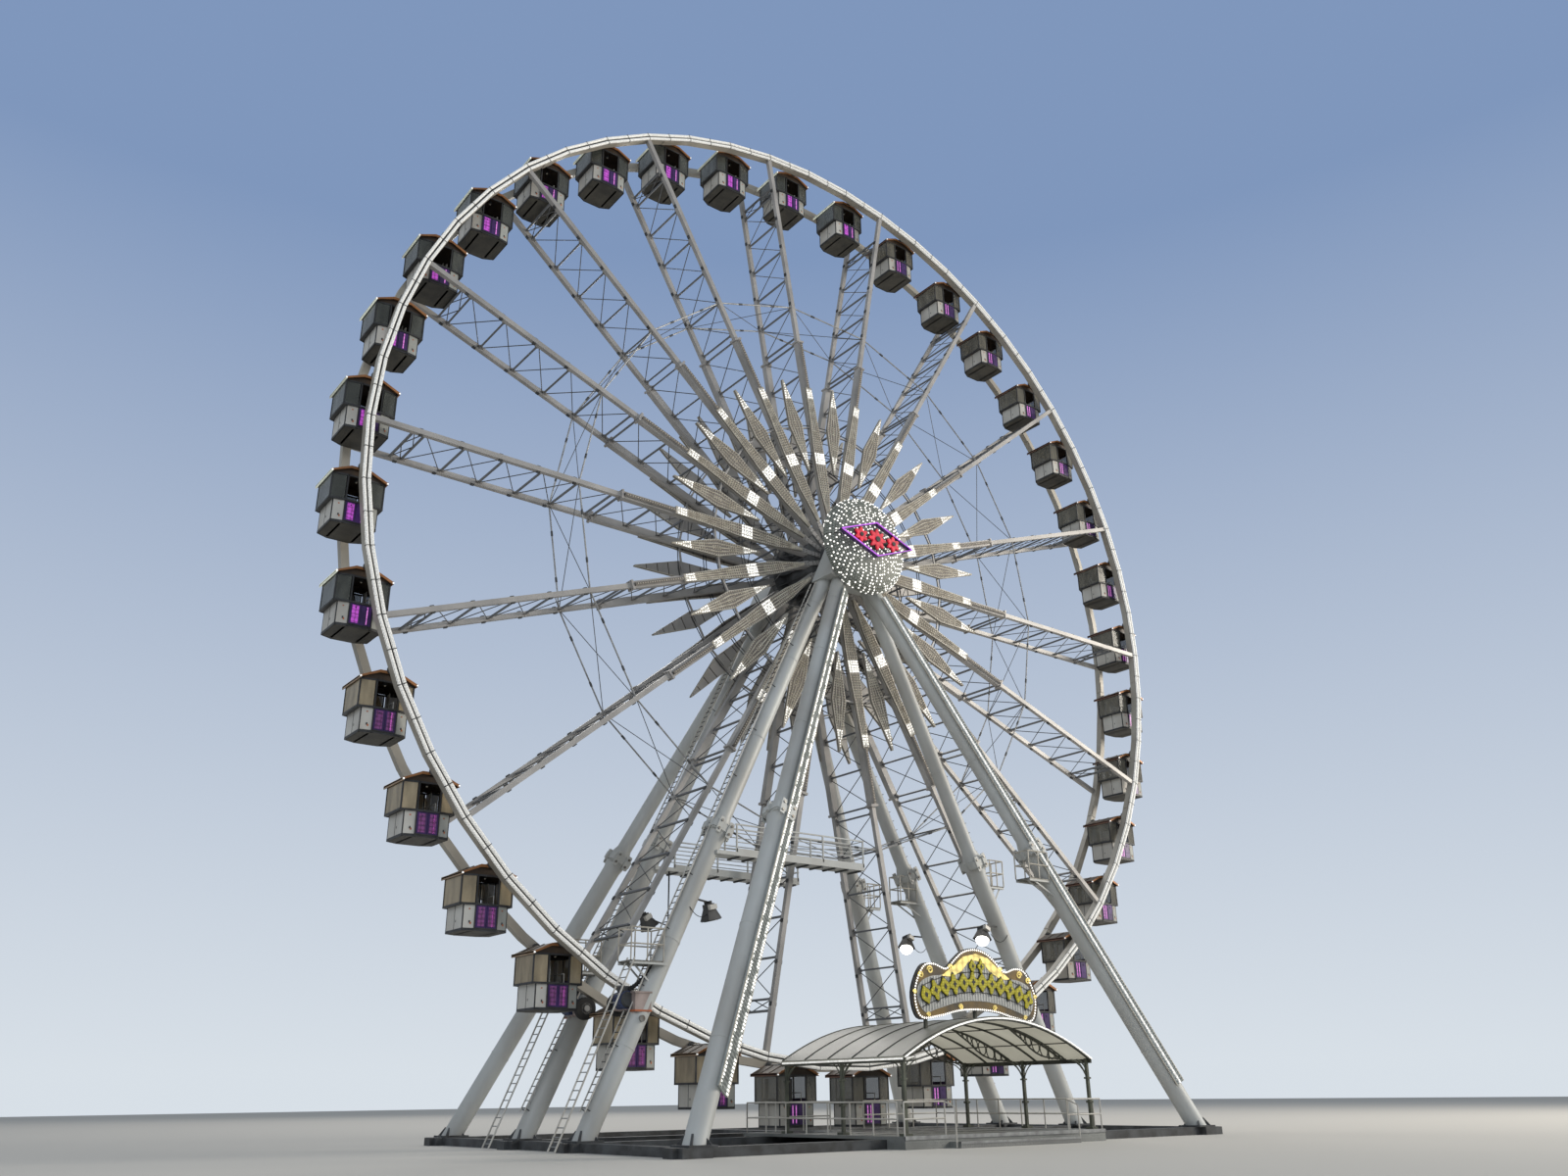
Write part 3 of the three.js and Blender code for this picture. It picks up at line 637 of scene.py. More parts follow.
# Plates that hold the spokes to the flanges, with bolts, and webs between the flanges
hubPlates = {
    "plate": (0.050, 0.44, 0.97), "thick": (-0.001, 0.022), "boltRows": (0.50, 0.60, 0.70, 0.84, 0.92),
    "boltSize": 0.013, "boltReach": 0.028, "web": (0.45, 0.78), "webThick": 0.014, "notch": (0.16, 0.08),
}


def hubPlateShape(shape):
    half, low, high = hubPlates["plate"]
    for side in hands:
        addPlate(shape, [(-half, low), (half, low), (half, high), (-half, high)],
                 *(side * (chordFace + thick) for thick in hubPlates["thick"]), "spokePaint")


def hubWebs(shape):
    (low, high), (across, up) = hubPlates["web"], hubPlates["notch"]
    half, thick = chordY - wheel["innerChord"] / 2, hubPlates["webThick"] / 2
    outline = [(-half, low), (half, low), (half, high), (half - across, low + up), (-half + across, low + up),
               (-half, high)]
    addSlab(shape, outline, -thick, thick, "hubSteel", crosswise)


hubBolts = [((x, side * (chordFace + hubPlates["thick"][1]), radius), (0, side, 0)) for side in hands
            for radius in hubPlates["boltRows"] for x in (-hubPlates["boltReach"], hubPlates["boltReach"])]
makeCopies("hub_plates", built(hubPlateShape), "spokePaint")
makeStuds("hub_bolts", hubBolts, boltHead, hubPlates["boltSize"], "pinSteel", roundTheAxle)
makeCopies("hub_webs", built(hubWebs), "hubSteel", betweenSpokes)
print("spoke lattice made")


# Lances: mesh panels that carry the bulbs, on both faces of the wheel, with (radius, half width) outlines
lances = {
    "long": {"outline": [(0.975, 0.025), (1.75, 0.125), (2.5, 0.145), (3.425, 0.097), (4.3, 0.075)],
             "strip": (4.3, 5.5, 0.036), "lit": [(2.345, 2.625), (4.01, 4.275)], "ring": roundTheAxle},
    "short": {"outline": [(2.18, 0.006), (3.3, 0.185), (4.44, 0.006)],
              "strip": None, "lit": [(2.19, 2.62), (3.97, 4.43)], "ring": betweenSpokes},
}
lanceSkin = {
    "inside": chordFace - 0.006, "outside": chordFace + 0.046, "grow": 0.003, "edge": 0.018, "rib": 0.014,
    "ribPitch": 0.28, "string": 0.013, "strings": (-0.5, 0.0, 0.5), "bulbPitch": 0.058, "bulbMargin": 0.020,
    "bulbSize": 0.0175, "patchProud": 0.006,
}


def strip(outline, low, high, grow=0.0):
    stations = [low] + [corner[0] for corner in outline if low < corner[0] < high] + [high]
    right = [(follow(outline, at) + grow, at) for at in stations]
    return right + [(-x, z) for x, z in reversed(right)]


def lancePanel(shape, lance, side):
    outline, skin = lance["outline"], lanceSkin
    addPlate(shape, strip(outline, outline[0][0], outline[-1][0], skin["grow"]), side * skin["inside"],
             side * skin["outside"], "lanceMesh")


def lanceEdges(shape, lance, side):
    size = lanceSkin["edge"]
    for y in (side * lanceSkin["outside"], side * lanceSkin["inside"]):
        for (lowAt, low), (highAt, high) in zip(lance["outline"], lance["outline"][1:]):
            for hand in hands:
                addBar(shape, (hand * low, y, lowAt), (hand * high, y, highAt), size, size, "lanceFrame")


def lanceRibs(shape, lance, side):
    outline, size = lance["outline"], lanceSkin["rib"]
    y = side * (lanceSkin["inside"] - size / 2)
    low, high = outline[0][0], outline[-1][0]
    for radius in spread(low, high, round((high - low) / lanceSkin["ribPitch"]) + 1)[1:-1]:
        half = follow(outline, radius)
        if half > wheel["innerChord"] / 2 or not lance["strip"]:
            addBar(shape, (-half, y, radius), (half, y, radius), size, size, "lanceRib")


def lancePatches(shape, lance, side):
    y = side * lanceSkin["outside"]
    for low, high in lance["lit"]:
        addPlate(shape, strip(lance["outline"], low, high, -0.004), y, y + side * lanceSkin["patchProud"],
                 "patchLamp")


def lanceStrip(shape, lance, side):
    low, high, half = lance["strip"]
    addPlate(shape, [(half, low), (half * 0.85, high), (-half * 0.85, high), (-half, low)],
             side * (chordFace - 0.002), side * (lanceSkin["outside"] + lanceSkin["grow"]), "lanceMesh")


def lanceBulbs(lance, side):
    bulbs = {True: [], False: []}
    outline, pitch = lance["outline"], lanceSkin["bulbPitch"]
    low, high = outline[0][0], outline[-1][0]
    for row in range(1, int(((lance["strip"][1] if lance["strip"] else high) - low) / pitch)):
        radius = low + row * pitch
        half = (follow(outline, radius) if radius < high else lance["strip"][2]) - lanceSkin["bulbMargin"]
        if half < 0:
            continue
        across = int(2 * half / pitch) + 1
        glowing = any(start < radius < end for start, end in lance["lit"])
        y = side * (lanceSkin["outside"] - 0.001) + (side * lanceSkin["patchProud"] if glowing else 0)
        for x in spread(-half, half, across) if across > 1 else [0.0]:
            bulbs[glowing].append(((x, y, radius), (0, side, 0)))
    return bulbs


lanceParts = {
    "panels": (lancePanel, "lanceMesh"), "edges": (lanceEdges, "lanceFrame"), "ribs": (lanceRibs, "lanceRib"),
    "patches": (lancePatches, "patchLamp"),
}
for sideName, side in sides.items():
    for kind, lance in lances.items():
        label, ring = f"{kind}_lance_{{}}_{sideName}", lance["ring"]
        for part, (build, finish) in lanceParts.items():
            makeCopies(label.format(part), built(build, lance, side), finish, ring)
        y = side * (lanceSkin["outside"] + 0.004)
        strings = [[(share * half, y, radius) for radius, half in lance["outline"]]
                   for share in lanceSkin["strings"]]
        makeRods(label.format("strings"), strings, lanceSkin["string"], "bulbString", ring, 4)
        bulbs = lanceBulbs(lance, side)
        makeStuds(label.format("bulbs"), bulbs[False], bead, lanceSkin["bulbSize"], "bulbDull", ring)
        makeStuds(label.format("lit_bulbs"), bulbs[True], bead, lanceSkin["bulbSize"], "bulbLit", ring)
        if lance["strip"]:
            makeCopies(label.format("strips"), built(lanceStrip, lance, side), "lanceMesh", ring)


# Bars that hold the short lances to their neighbours
lanceBars = {"radii": (2.62, 3.3), "size": 0.011, "spread": 0.035}


def lanceBrackets():
    rods = []
    turn = Matrix.Rotation(spokeStep / 2, 3, "Y")
    for side in hands:
        for radius in lanceBars["radii"]:
            for shift in (-lanceBars["spread"], lanceBars["spread"]):
                start = Vector((0, side * (chordFace - 0.02), radius + shift))
                rods += [[start, turn @ start], [turn @ start, turn @ turn @ start]]
    return rods


makeRods("lance_brackets", lanceBrackets(), lanceBars["size"], "darkSteel", roundTheAxle, 6)
print("lances made")


# Rims: two lit tubes on the front one, splice plates on both
rimDress = {
    "tubeRadii": (10.653, 10.747), "tube": 0.031, "gap": 0.010, "proud": 0.036, "clip": 0.010,
    "clipThick": 0.006, "backing": (10.632, 10.768), "clipShares": (0.0, 0.5), "splice": 0.30,
    "spliceThick": 0.012,
    "bearing": ((0.075, -0.024), (0.075, 0.014), (0.06375, 0.024)),
}
tubeY = -(rimFace + rimDress["proud"])


def rimPoint(radius, turn, y):
    return Vector((radius * math.sin(turn), y, radius * math.cos(turn)))


def rimTubes():
    paths = []
    for radius in rimDress["tubeRadii"]:
        start, end = rimPoint(radius, 0, tubeY), rimPoint(radius, sideStep, tubeY)
        share = rimDress["gap"] / (end - start).length
        paths += [[start.lerp(end, low + share), start.lerp(end, low + 0.5 - share)] for low in (0, 0.5)]
    return paths


# Straight plates between the corners of a rim, at a share of the way along one side
def sidePlace(share):
    middle = rimPoint(1, 0, 0).lerp(rimPoint(1, sideStep, 0), share)
    return Matrix.Rotation(math.atan2(middle.x, middle.z), 4, "Y") @ Matrix.Scale(middle.length, 4, (0, 0, 1))


def rimClips(shape):
    half, thick, reach = rimDress["clip"] / 2, rimDress["clipThick"], rimDress["tube"] + 0.003
    face, low, high = tubeY - reach, rimDress["tubeRadii"][0] - reach, rimDress["tubeRadii"][1] + reach
    for share in rimDress["clipShares"]:
        for back, start, end in ((face + thick, low, high), (-rimFace, low, low + thick),
                                 (-rimFace, high - thick, high)):
            addBox(shape, (-half, face, start), (half, back, end), "darkSteel", sidePlace(share))


def rimBacking(shape):
    low, high = rimDress["backing"]
    corners = [rimPoint(*corner, 0).xz for corner in ((low, 0), (high, 0), (high, sideStep), (low, sideStep))]
    addPlate(shape, corners, -rimFace - 0.008, -rimFace + 0.004, "darkSteel")


def rimSplices(shape):
    half, thick, inner = rimDress["splice"] / 2, rimDress["spliceThick"], wheel["rimInner"]
    flat, section = wheel["rimRadius"] * math.cos(sideStep / 2), wheel["rimSection"] / 2
    low, high = flat - section, flat + section
    for side in hands:
        for near, far, start, end in ((inner - thick, inner, low + 0.015, high - 0.015),
                                      (inner + 0.01, rimFace - 0.01, low - thick, low)):
            addBox(shape, (-half, side * near, start), (half, side * far, end), "spokePaint",
                   Matrix.Rotation(sideStep / 2, 4, "Y"))


def pivotRings(shape):
    for side in hands:
        place = Matrix.Translation((0, side * (wheel["rimInner"] - 0.024), wheel["rimRadius"]))
        addTurned(shape, rimDress["bearing"], 20, "darkSteel", place @ Matrix.Rotation(math.pi / 2, 4, "X"))


makeRods("rim_lamps_front", rimTubes(), rimDress["tube"], "rimLamp", rimRing, 12)
makeCopies("rim_clips", built(rimClips), "darkSteel", rimRing)
makeCopies("rim_backing", built(rimBacking), "darkSteel", rimRing)
makeCopies("rim_splices", built(rimSplices), "rimPaint")
makeCopies("pivot_bearings", built(pivotRings), "darkSteel", cabinRing, 40)
print("rims made")


# Cabins, drawn about their pivot and copied to all of them, in three looks
cabin = {
    "roofHalf": 0.50, "roofDepth": 0.44, "eaves": -0.18, "crest": 0.17, "ridge": -0.01, "sheet": 0.030,
    "fascia": 0.048, "waist": -0.68, "bottom": -1.11, "wall": 0.022, "trim": 0.024,
    "upper": [(-0.475, -0.375), (-0.20, -0.42), (0.20, -0.42), (0.475, -0.375), (0.475, 0.33),
              (0.2375, 0.425), (-0.2375, 0.425), (-0.475, 0.33)],
    "lower": [(-0.40, -0.36), (-0.19, -0.405), (0.19, -0.405), (0.40, -0.36), (0.40, 0.30), (0.20, 0.40),
              (-0.20, 0.40), (-0.40, 0.30)],
    "doorHalf": 0.19, "doorLow": -1.055, "doorHigh": -0.70, "pin": 0.028, "pinReach": 0.5096,
    "stripes": (-0.135, -0.055), "stripe": 0.009, "lampStripes": (0.11,),
}
# First and last cabin, front glass, side glass, left eave and the finish of each door leaf; the left eave is
# the copper with painted light: painted shade on cabins 1 to 18, a tan painted highlight on 19 to 24 and a
# glowing cream painted highlight on 25 to 36
cabinLooks = (
    (1, 18, "frontGlass", "oliveGlass", "rustTrim", {}),
    (19, 24, "tanGlass", "tanGlass", "eaveTan", {-1: "doorSoft", 1: "doorSoft"}),
    (25, 36, "darkGlass", "smokedGlass", "eaveCream", {-1: "doorGlow"}),
)
waist, bottom, eaves = cabin["waist"], cabin["bottom"], cabin["eaves"]


def inset(outline, distance):
    result = []
    for at, here in enumerate(outline):
        before, here, after = Vector(outline[at - 1]), Vector(here), Vector(outline[(at + 1) % len(outline)])
        first, second = (here - before).normalized().orthogonal(), (after - here).normalized().orthogonal()
        normal = (first + second).normalized()
        result.append(tuple(here + normal * (distance / max(0.3, normal.dot(first)))))
    return result


# An upright panel on one side of a plan, with its own thickness, from the outer line inwards
def addPanel(shape, start, end, low, high, thick, finish, cut=0.0, proud=0.0):
    start, end = Vector((*start, 0)), Vector((*end, 0))
    run = (end - start).normalized()
    inward = Vector((-run.y, run.x, 0))
    start, end = start + run * cut - inward * proud, end - run * cut - inward * proud
    corners = [start, end, end + inward * thick, start + inward * thick]
    addFaces(shape, [Vector((corner.x, corner.y, z)) for z in (low, high) for corner in corners], boxFaces,
             finish)


# A narrow panel on one side of the lower box, at a distance from its middle
def addMark(shape, number, shift, half, low, high, thick, finish, proud):
    start, end = (Vector(point) for point in edges(cabin["lower"])[number])
    run = (end - start).normalized()
    here = (start + end) / 2 + run * shift
    addPanel(shape, here - run * half, here + run * half, low, high, thick, finish, 0, proud)


def cabinWalls(shape, front, side):
    wall, trim = cabin["wall"], cabin["trim"]
    for number, line in enumerate(edges(cabin["lower"])):
        if number != 1:
            # the front right facet gets painted shade, a greyer copy of the cabin white
            addPanel(shape, *line, bottom + 0.03, waist, wall, "cabinGrey" if number == 2 else "cabinWhite",
                     0.004)
        if number in (3, 7):
            addMark(shape, number, 0, 0.006, bottom + 0.03, waist, wall, "cabinTrim", 0.003)
            addMark(shape, number, 0.06, 0.008, -0.955, -0.915, 0.01, "cabinTrim", 0.004)
        addPanel(shape, *line, bottom, bottom + 0.042, wall, "cabinTrim", 0, 0.006)
    for number, line in enumerate(edges(cabin["upper"])):
        addPanel(shape, *line, waist - 0.010, waist + 0.024, wall, "cabinTrim", 0, 0.006)
        if number != 1:
            addPanel(shape, *line, waist + 0.022, eaves - 0.03, wall * 0.35,
                     front if number in (0, 2) else side, trim, -0.006)
        addPanel(shape, *line, eaves - 0.03, eaves, wall, "cabinTrim", 0, 0.002)
    size = trim / 2
    for outline, low, high in ((cabin["lower"], bottom, waist), (cabin["upper"], waist, eaves)):
        for x, y in outline:
            x, y = Vector((x, y)) * (1 - 0.010 / max(abs(x), abs(y)))
            addBox(shape, (x - size, y - size, low), (x + size, y + size, high), "cabinTrim")
    for number in (0, 2):
        for shift, low, high, finish in ((0.01, -0.985, -0.945, "cabinTrim"),
                                         (0.028, -1.005, -0.97, "cabinMark"),
                                         (0.0, -0.765, -0.745, "cabinMark")):
            addMark(shape, number, shift, 0.013, low, high, 0.01, finish, 0.004)


def cabinDoors(shape, leaves):
    half, low, high = cabin["doorHalf"], cabin["doorLow"], cabin["doorHigh"]
    front = cabin["lower"][1][1]
    across, bar, reach = half / 2 - 0.012, between(low, high, 0.36), cabin["stripe"]
    boxes = [(0, half, -0.004, 0.028, low - 0.02, high + 0.022, "doorPurple"),
             (0, half, -0.016, 0.01, low - 0.02, low - 0.004, "cabinTrim")]
    for hand in hands:
        centre, wide = hand * half / 2, across - 0.024
        boxes += [(centre, across, -0.014, 0, low, high, "doorPurple"),
                  (centre, 0.010, -0.024, -0.017, high - 0.075, high - 0.045, "doorPurple"),
                  (centre, wide, -0.021, -0.018, bar, bar + 0.005, "doorPurple"),
                  (hand * (half + 0.01), 0.010, -0.010, 0.014, bottom, eaves, "cabinTrim")]
        if hand in leaves:
            boxes.append((centre, wide, -0.019, -0.008, low + 0.022, high - 0.02, leaves[hand]))
    for x in cabin["lampStripes"] if leaves else cabin["stripes"]:
        boxes.append((x, reach, -0.019, -0.008, low + 0.022, high - 0.02, "doorPink"))
    for x, wide, face, back, start, end, finish in boxes:
        addBox(shape, (x - wide, front + face, start), (x + wide, front + back, end), finish)


def cabinFloor(shape):
    addSlab(shape, inset(cabin["lower"], 0.008), bottom, bottom + 0.03, "cabinUnder")
    for x in (-0.22, 0.22):
        addBox(shape, (x - 0.02, -0.33, bottom), (x + 0.02, 0.33, bottom + 0.01), "cabinTrim")
    ledge, inner = inset(cabin["upper"], 0.004), inset(cabin["lower"], 0.010)
    count = len(ledge)
    points = [(x, y, waist + lift) for lift in (-0.004, 0.004) for x, y in ledge + inner]
    faces = []
    for at in range(count):
        after = (at + 1) % count
        for ring in ((at, count + at, count + after, after), (at, after, 2 * count + after, 2 * count + at),
                     (2 * count + after, 3 * count + after, 3 * count + at, 2 * count + at),
                     (count + after, count + at, 3 * count + at, 3 * count + after)):
            faces.append(ring)
    addFaces(shape, points, faces, "cabinTrim")


def cabinRoof(shape, leftEaveLight):
    half, depth, crest = cabin["roofHalf"], cabin["roofDepth"], cabin["crest"]
    ridge, sheet, drop = cabin["ridge"], cabin["sheet"], cabin["fascia"]
    line = [(-half, eaves + 0.02), (-crest, ridge), (crest, ridge), (half, eaves + 0.02)]
    under = [(-half, eaves - 0.004), (-half + 0.02, eaves - 0.004), (-crest, ridge - sheet),
             (crest, ridge - sheet), (half - 0.02, eaves - 0.004), (half, eaves - 0.004)]
    addPlate(shape, line[::-1] + under, -depth + 0.012, depth - 0.012, "roofDark")
    top = ridge - sheet + 0.002
    gable = [(half - 0.04, eaves), (crest, top), (-crest, top), (-half + 0.04, eaves)]
    for side in hands:
        for start, end in zip(line, line[1:]):
            board = [start, end, (end[0], end[1] - drop), (start[0], max(start[1] - drop, eaves - 0.012))]
            addPlate(shape, board, side * depth, side * (depth - 0.022), "copperTrim")
        addPlate(shape, gable, side * (depth - 0.06), side * (depth - 0.045), "ceilingBrown")
    ceiling = [(half - 0.07, eaves + 0.006), (crest, ridge - sheet - 0.01), (-crest, ridge - sheet - 0.01),
               (-half + 0.07, eaves + 0.006), (-half + 0.09, eaves - 0.006), (-crest, ridge - sheet - 0.022),
               (crest, ridge - sheet - 0.022), (half - 0.09, eaves - 0.006)]
    addPlate(shape, ceiling, -depth + 0.07, depth - 0.07, "ceilingBrown")
    # the left eave board carries the look's painted light (shade or highlight, by look), the right one plain
    # copper
    for hand, finish in ((-1, leftEaveLight), (1, "copperTrim")):
        addBox(shape, (hand * half, -depth, eaves - 0.026), (hand * (half - 0.016), depth, eaves + 0.030),
               finish)
        addBox(shape, (hand * (half + 0.004), -depth - 0.012, eaves - 0.012),
               (hand * (half - 0.020), -depth + 0.012, eaves + 0.014), "lampWhite")
        for share in (0.33, 0.66):
            y = between(-depth, depth, share)
            low, high = (hand * (half - 0.01), y, eaves + 0.026), (hand * crest, y, ridge + 0.004)
            addBar(shape, low, high, 0.02, 0.008, "roofDark")


def cabinRoom(shape):
    seat, wide = bottom + 0.244, 0.26
    for hand in hands:
        outside, inside = hand * 0.362, hand * 0.20
        pane = min(outside, inside)
        addBox(shape, (outside, -wide, seat), (inside, wide, seat + 0.035), "benchSeat")
        addBox(shape, (outside, -wide, seat + 0.035), (hand * 0.335, wide, seat + 0.27), "benchSeat")
        addBox(shape, (pane, 0.04, waist + 0.03), (pane + 0.012, 0.16, eaves - 0.07), "cabinWhite")
        for end in ((hand * 0.16, 0.20, -0.50), (hand * 0.16, -0.30, -1.06)):
            addTube(shape, (hand * 0.16, -0.30, -0.50), end, 0.009, "cabinWhite", 8)
        start, end = ((0, hand * (cabin["roofDepth"] + reach), 0) for reach in (0.002, 0.030))
        addTube(shape, start, end, 0.048, "darkSteel", 14)
    addTube(shape, (0, -0.24, -0.16), (0, -0.24, -0.215), 0.035, "cabinTrim", 12)
    addTube(shape, (0, -0.24, -0.215), (0, -0.24, -0.230), 0.018, "bulbDull", 12, 0.012)
    addTube(shape, (0, -cabin["pinReach"], 0), (0, cabin["pinReach"], 0), cabin["pin"], "pinSteel", 14)


def cabinShape(shape, front, side, leftEaveLight, leaves):
    cabinDoors(shape, leaves)
    cabinWalls(shape, front, side)
    cabinRoof(shape, leftEaveLight)
    cabinFloor(shape)
    cabinRoom(shape)


for first, last, *look in cabinLooks:
    drawn = built(cabinShape, *look)
    for number in range(first, last + 1):
        node = f"cabin_{number:02d}"
        shape = {**drawn, "points": [Vector(point) + joints[node + "_hang"] for point in drawn["points"]]}
        makePiece(node.replace("_", "_shell_"), shape, 35, node, node)
print("cabins made, faces each:", len(drawn["faces"]))


# Hub dome with its rings of bulbs and a generic neon rosette
dome = {
    "neck": 0.30, "neckY": 1.5604, "back": 1.60, "rim": 1.06, "bulge": 1.085, "bandY": 1.74, "crown": 2.05,
    "steps": 14, "bulbPitch": 0.068, "bandPitch": 0.046, "bandBulbs": 144, "litSize": 0.0225,
    "dullSize": 0.0135, "seam": 0.006, "glow": {"band": 0.12, "odd": 0.80, "even": 0.08},
}
emblem = {
    "wide": 1.03, "high": 0.405, "y": 2.16, "deep": 0.10, "tube": 0.015, "rim": 0.024,
    "motifs": ((-0.46, 0.185, 6), (0.0, 0.245, 8), (0.46, 0.185, 6)), "thick": 0.055, "shadow": 1.13,
    "stands": ((-0.52, 0.20), (0.52, 0.20), (-0.52, -0.20), (0.52, -0.20), (-0.98, 0), (0.98, 0), (0, 0.38),
               (0, -0.38), (-0.45, 0), (0.45, 0), (0, 0)),
}
domeDepth, emblemFace = dome["crown"] - dome["bandY"], -emblem["y"]
domeProfile = [(dome["rim"], dome["back"]), (dome["bulge"], dome["back"] + 0.03),
               (dome["bulge"], dome["bandY"])]
for angle in spread(0, math.pi / 2, dome["steps"] + 1)[1:-1]:
    across, up = round2(1, angle)
    domeProfile.append((dome["bulge"] * across, dome["bandY"] + domeDepth * up))
domeProfile.append((0, dome["crown"]))
domeFoot = [(0, dome["neckY"]), (dome["neck"], dome["neckY"]), (dome["neck"], dome["back"])]
towardsFront = Matrix.Translation(hub) @ Matrix.Rotation(math.pi / 2, 4, "X")


# Rings of bulbs: an even grid on the side band, then staggered rings with every other bulb lit
def domeBulbs():
    random.seed(11)
    bulbs = {True: [], False: []}
    travelled, wanted, ring = 0.0, dome["bandPitch"] / 2, 0
    for (r0, h0), (r1, h1) in zip(domeProfile, domeProfile[1:]):
        length = math.hypot(r1 - r0, h1 - h0)
        onBand = h1 <= dome["bandY"] + 0.001
        while wanted <= travelled + length:
            share = (wanted - travelled) / length
            radius, height = between(r0, r1, share), between(h0, h1, share)
            normal = Vector((h1 - h0, 0, r0 - r1)).normalized()
            count = dome["bandBulbs"] if onBand else max(1, round(2 * math.pi * radius / dome["bulbPitch"]))
            shift = 0.0 if onBand else 0.5 * (ring % 2)
            for at in range(count):
                turn = Matrix.Rotation(2 * math.pi * (at + shift) / count, 3, "Z")
                chance = dome["glow"]["band" if onBand else "odd" if at % 2 else "even"]
                point = towardsFront @ (turn @ Vector((radius, 0, height)))
                bulbs[random.random() < chance].append((point, towardsFront.to_3x3() @ (turn @ normal)))
            wanted += dome["bandPitch" if onBand else "bulbPitch"]
            ring += 1
        travelled += length
    return bulbs


def rhombus(grow=0.0):
    wide, high = emblem["wide"] + grow * 2.0, emblem["high"] + grow
    return [(-wide, 0), (0, high), (wide, 0), (0, -high)]


def emblemFrame(shape):
    for (a, b), (c, d) in zip(edges(rhombus()), edges(rhombus(-emblem["rim"]))):
        addPlate(shape, [a, b, d, c], emblemFace, emblemFace + emblem["deep"], "doorPurple",
                 Matrix.Translation(hub))


def petalRing(petals, size, grow=1.0):
    outline = []
    for at in range(petals * 6):
        angle = 2 * math.pi * at / (petals * 6)
        reach = size * (0.78 + 0.22 * math.cos(petals * angle)) * grow
        outline.append((reach * math.sin(angle), reach * math.cos(angle)))
    return outline


def emblemMotifs(shape):
    face, thick = emblemFace - 0.01, emblem["thick"]
    for centre, size, petals in emblem["motifs"]:
        place = Matrix.Translation(hub + Vector((centre, 0, 0)))
        addPlate(shape, petalRing(petals, size), face, face + thick, "neonRed", place)
        # painted shadow: a dark plate, a little larger, behind each motif
        addPlate(shape, petalRing(petals, size, emblem["shadow"]), face + thick - 0.012, face + thick + 0.012,
                 "floodDark", place)
        addTube(shape, *(place @ Vector((0, face + depth, 0)) for depth in (0.01, -0.02)), size * 0.26,
                "floodDark", 16)


def emblemStand(x, z):
    depth = dome["bandY"] + domeDepth * math.sqrt(1 - (math.hypot(x, z) / dome["bulge"]) ** 2)
    return [hub + Vector((x, -depth + 0.01, z)), hub + Vector((x, emblemFace + 0.05, z))]


makePiece("dome_shell", built(addTurned, domeFoot + domeProfile, 72, "domePanel", towardsFront),
          40, node="hub_dome")
bulbs = domeBulbs()
makeStuds("dome_lit_bulbs", bulbs[True], bulb, dome["litSize"], "bulbLit")
makeStuds("dome_dull_bulbs", bulbs[False], bulb, dome["dullSize"], "bulbSilver")
seams = [[towardsFront @ Vector((hand * (radius + 0.004), 0, height + 0.004))
          for radius, height in domeProfile[1:-4]]
         for hand in hands]
makeRods("dome_seams", seams, dome["seam"], "floodDark", count=6)
makePiece("emblem_frame", built(emblemFrame))
tube = [hub + Vector((x, emblemFace - 0.012, z)) for x, z in rhombus(-0.012)]
makeRods("emblem_tube", [tube + tube[:1]], emblem["tube"], "neonPurple")
makePiece("emblem_motifs", built(emblemMotifs))
makeRods("emblem_stands", [emblemStand(*place) for place in emblem["stands"]], 0.012, "darkSteel")
print("dome made")


# Legs: round tubes with bolted collars at mid height
legs = {
    "head": {"inner": (0.25, 1.075), "outer": (0.06, 1.15)},
    "foot": {"inner": (6.06, 1.075), "outer": (6.00, 4.25)},
    "top": 11.1996, "bottom": 0.1404, "upper": 0.155, "lower": 0.18, "sides": 32, "collarAt": 5.48,
    "cone": 0.20, "block": 0.235, "blockHalf": 0.07, "bands": (1.6, 3.4, 7.4, 9.2, 10.6),
    "bandHalf": 0.02, "proud": 0.006,
}
collar = {
    "corner": 0.06, "lip": (0.9, 0.012, 0.014), "plateX": 0.12, "plateHalf": 0.012, "pin": (0.026, 0.03),
    "pinZ": 0.085, "ear": (0.05, 0.03, 0.10),
    "plate": [(-0.045, -0.16), (0.045, -0.16), (0.055, -0.10), (0.055, 0.10), (0.045, 0.16),
              (-0.045, 0.16), (-0.055, 0.10), (-0.055, -0.10)],
}
footPlate = {"half": 0.25, "thick": 0.03, "gap": 0.0004, "web": 0.13, "webTall": 0.15, "webHalf": 0.016}
drive = {"near": 0.67, "far": 0.88, "half": 0.12, "armY": 1.075}
tyreAt = joints["tyre_front_spin"]
allLegs = {}
for kind in ("inner", "outer"):
    for sideName, side in sides.items():
        for hand, across in (("left", -1), ("right", 1)):
            head, foot = (Vector((across * legs[end][kind][0], side * legs[end][kind][1], height))
                          for end, height in (("head", hub.z), ("foot", 0)))
            leg = {"foot": foot, "run": head - foot, "across": across, "side": side}
            allLegs[f"leg_{kind}_{sideName}_{hand}"] = leg


def legPoint(name, height):
    leg = allLegs[name]
    return leg["foot"] + leg["run"] * (height / leg["run"].z)


# Local Z up the leg, local Y away from the middle of the wheel's plane, local X level
def legFrame(name, height):
    start = legPoint(name, height)
    return along(start, start + allLegs[name]["run"].normalized(), (0, allLegs[name]["side"], 0))[0]


def legRun(name, settings, facing):
    return along(legPoint(name, settings["low"]), legPoint(name, settings["high"]), facing)


def placed(place, *points):
    return [place @ Vector(point) for point in points]


def rows(length, pitch):
    return [(row + 0.5) * pitch for row in range(int(length / pitch))]


def middles(count):
    return [(at + 0.5) / count for at in range(count)]


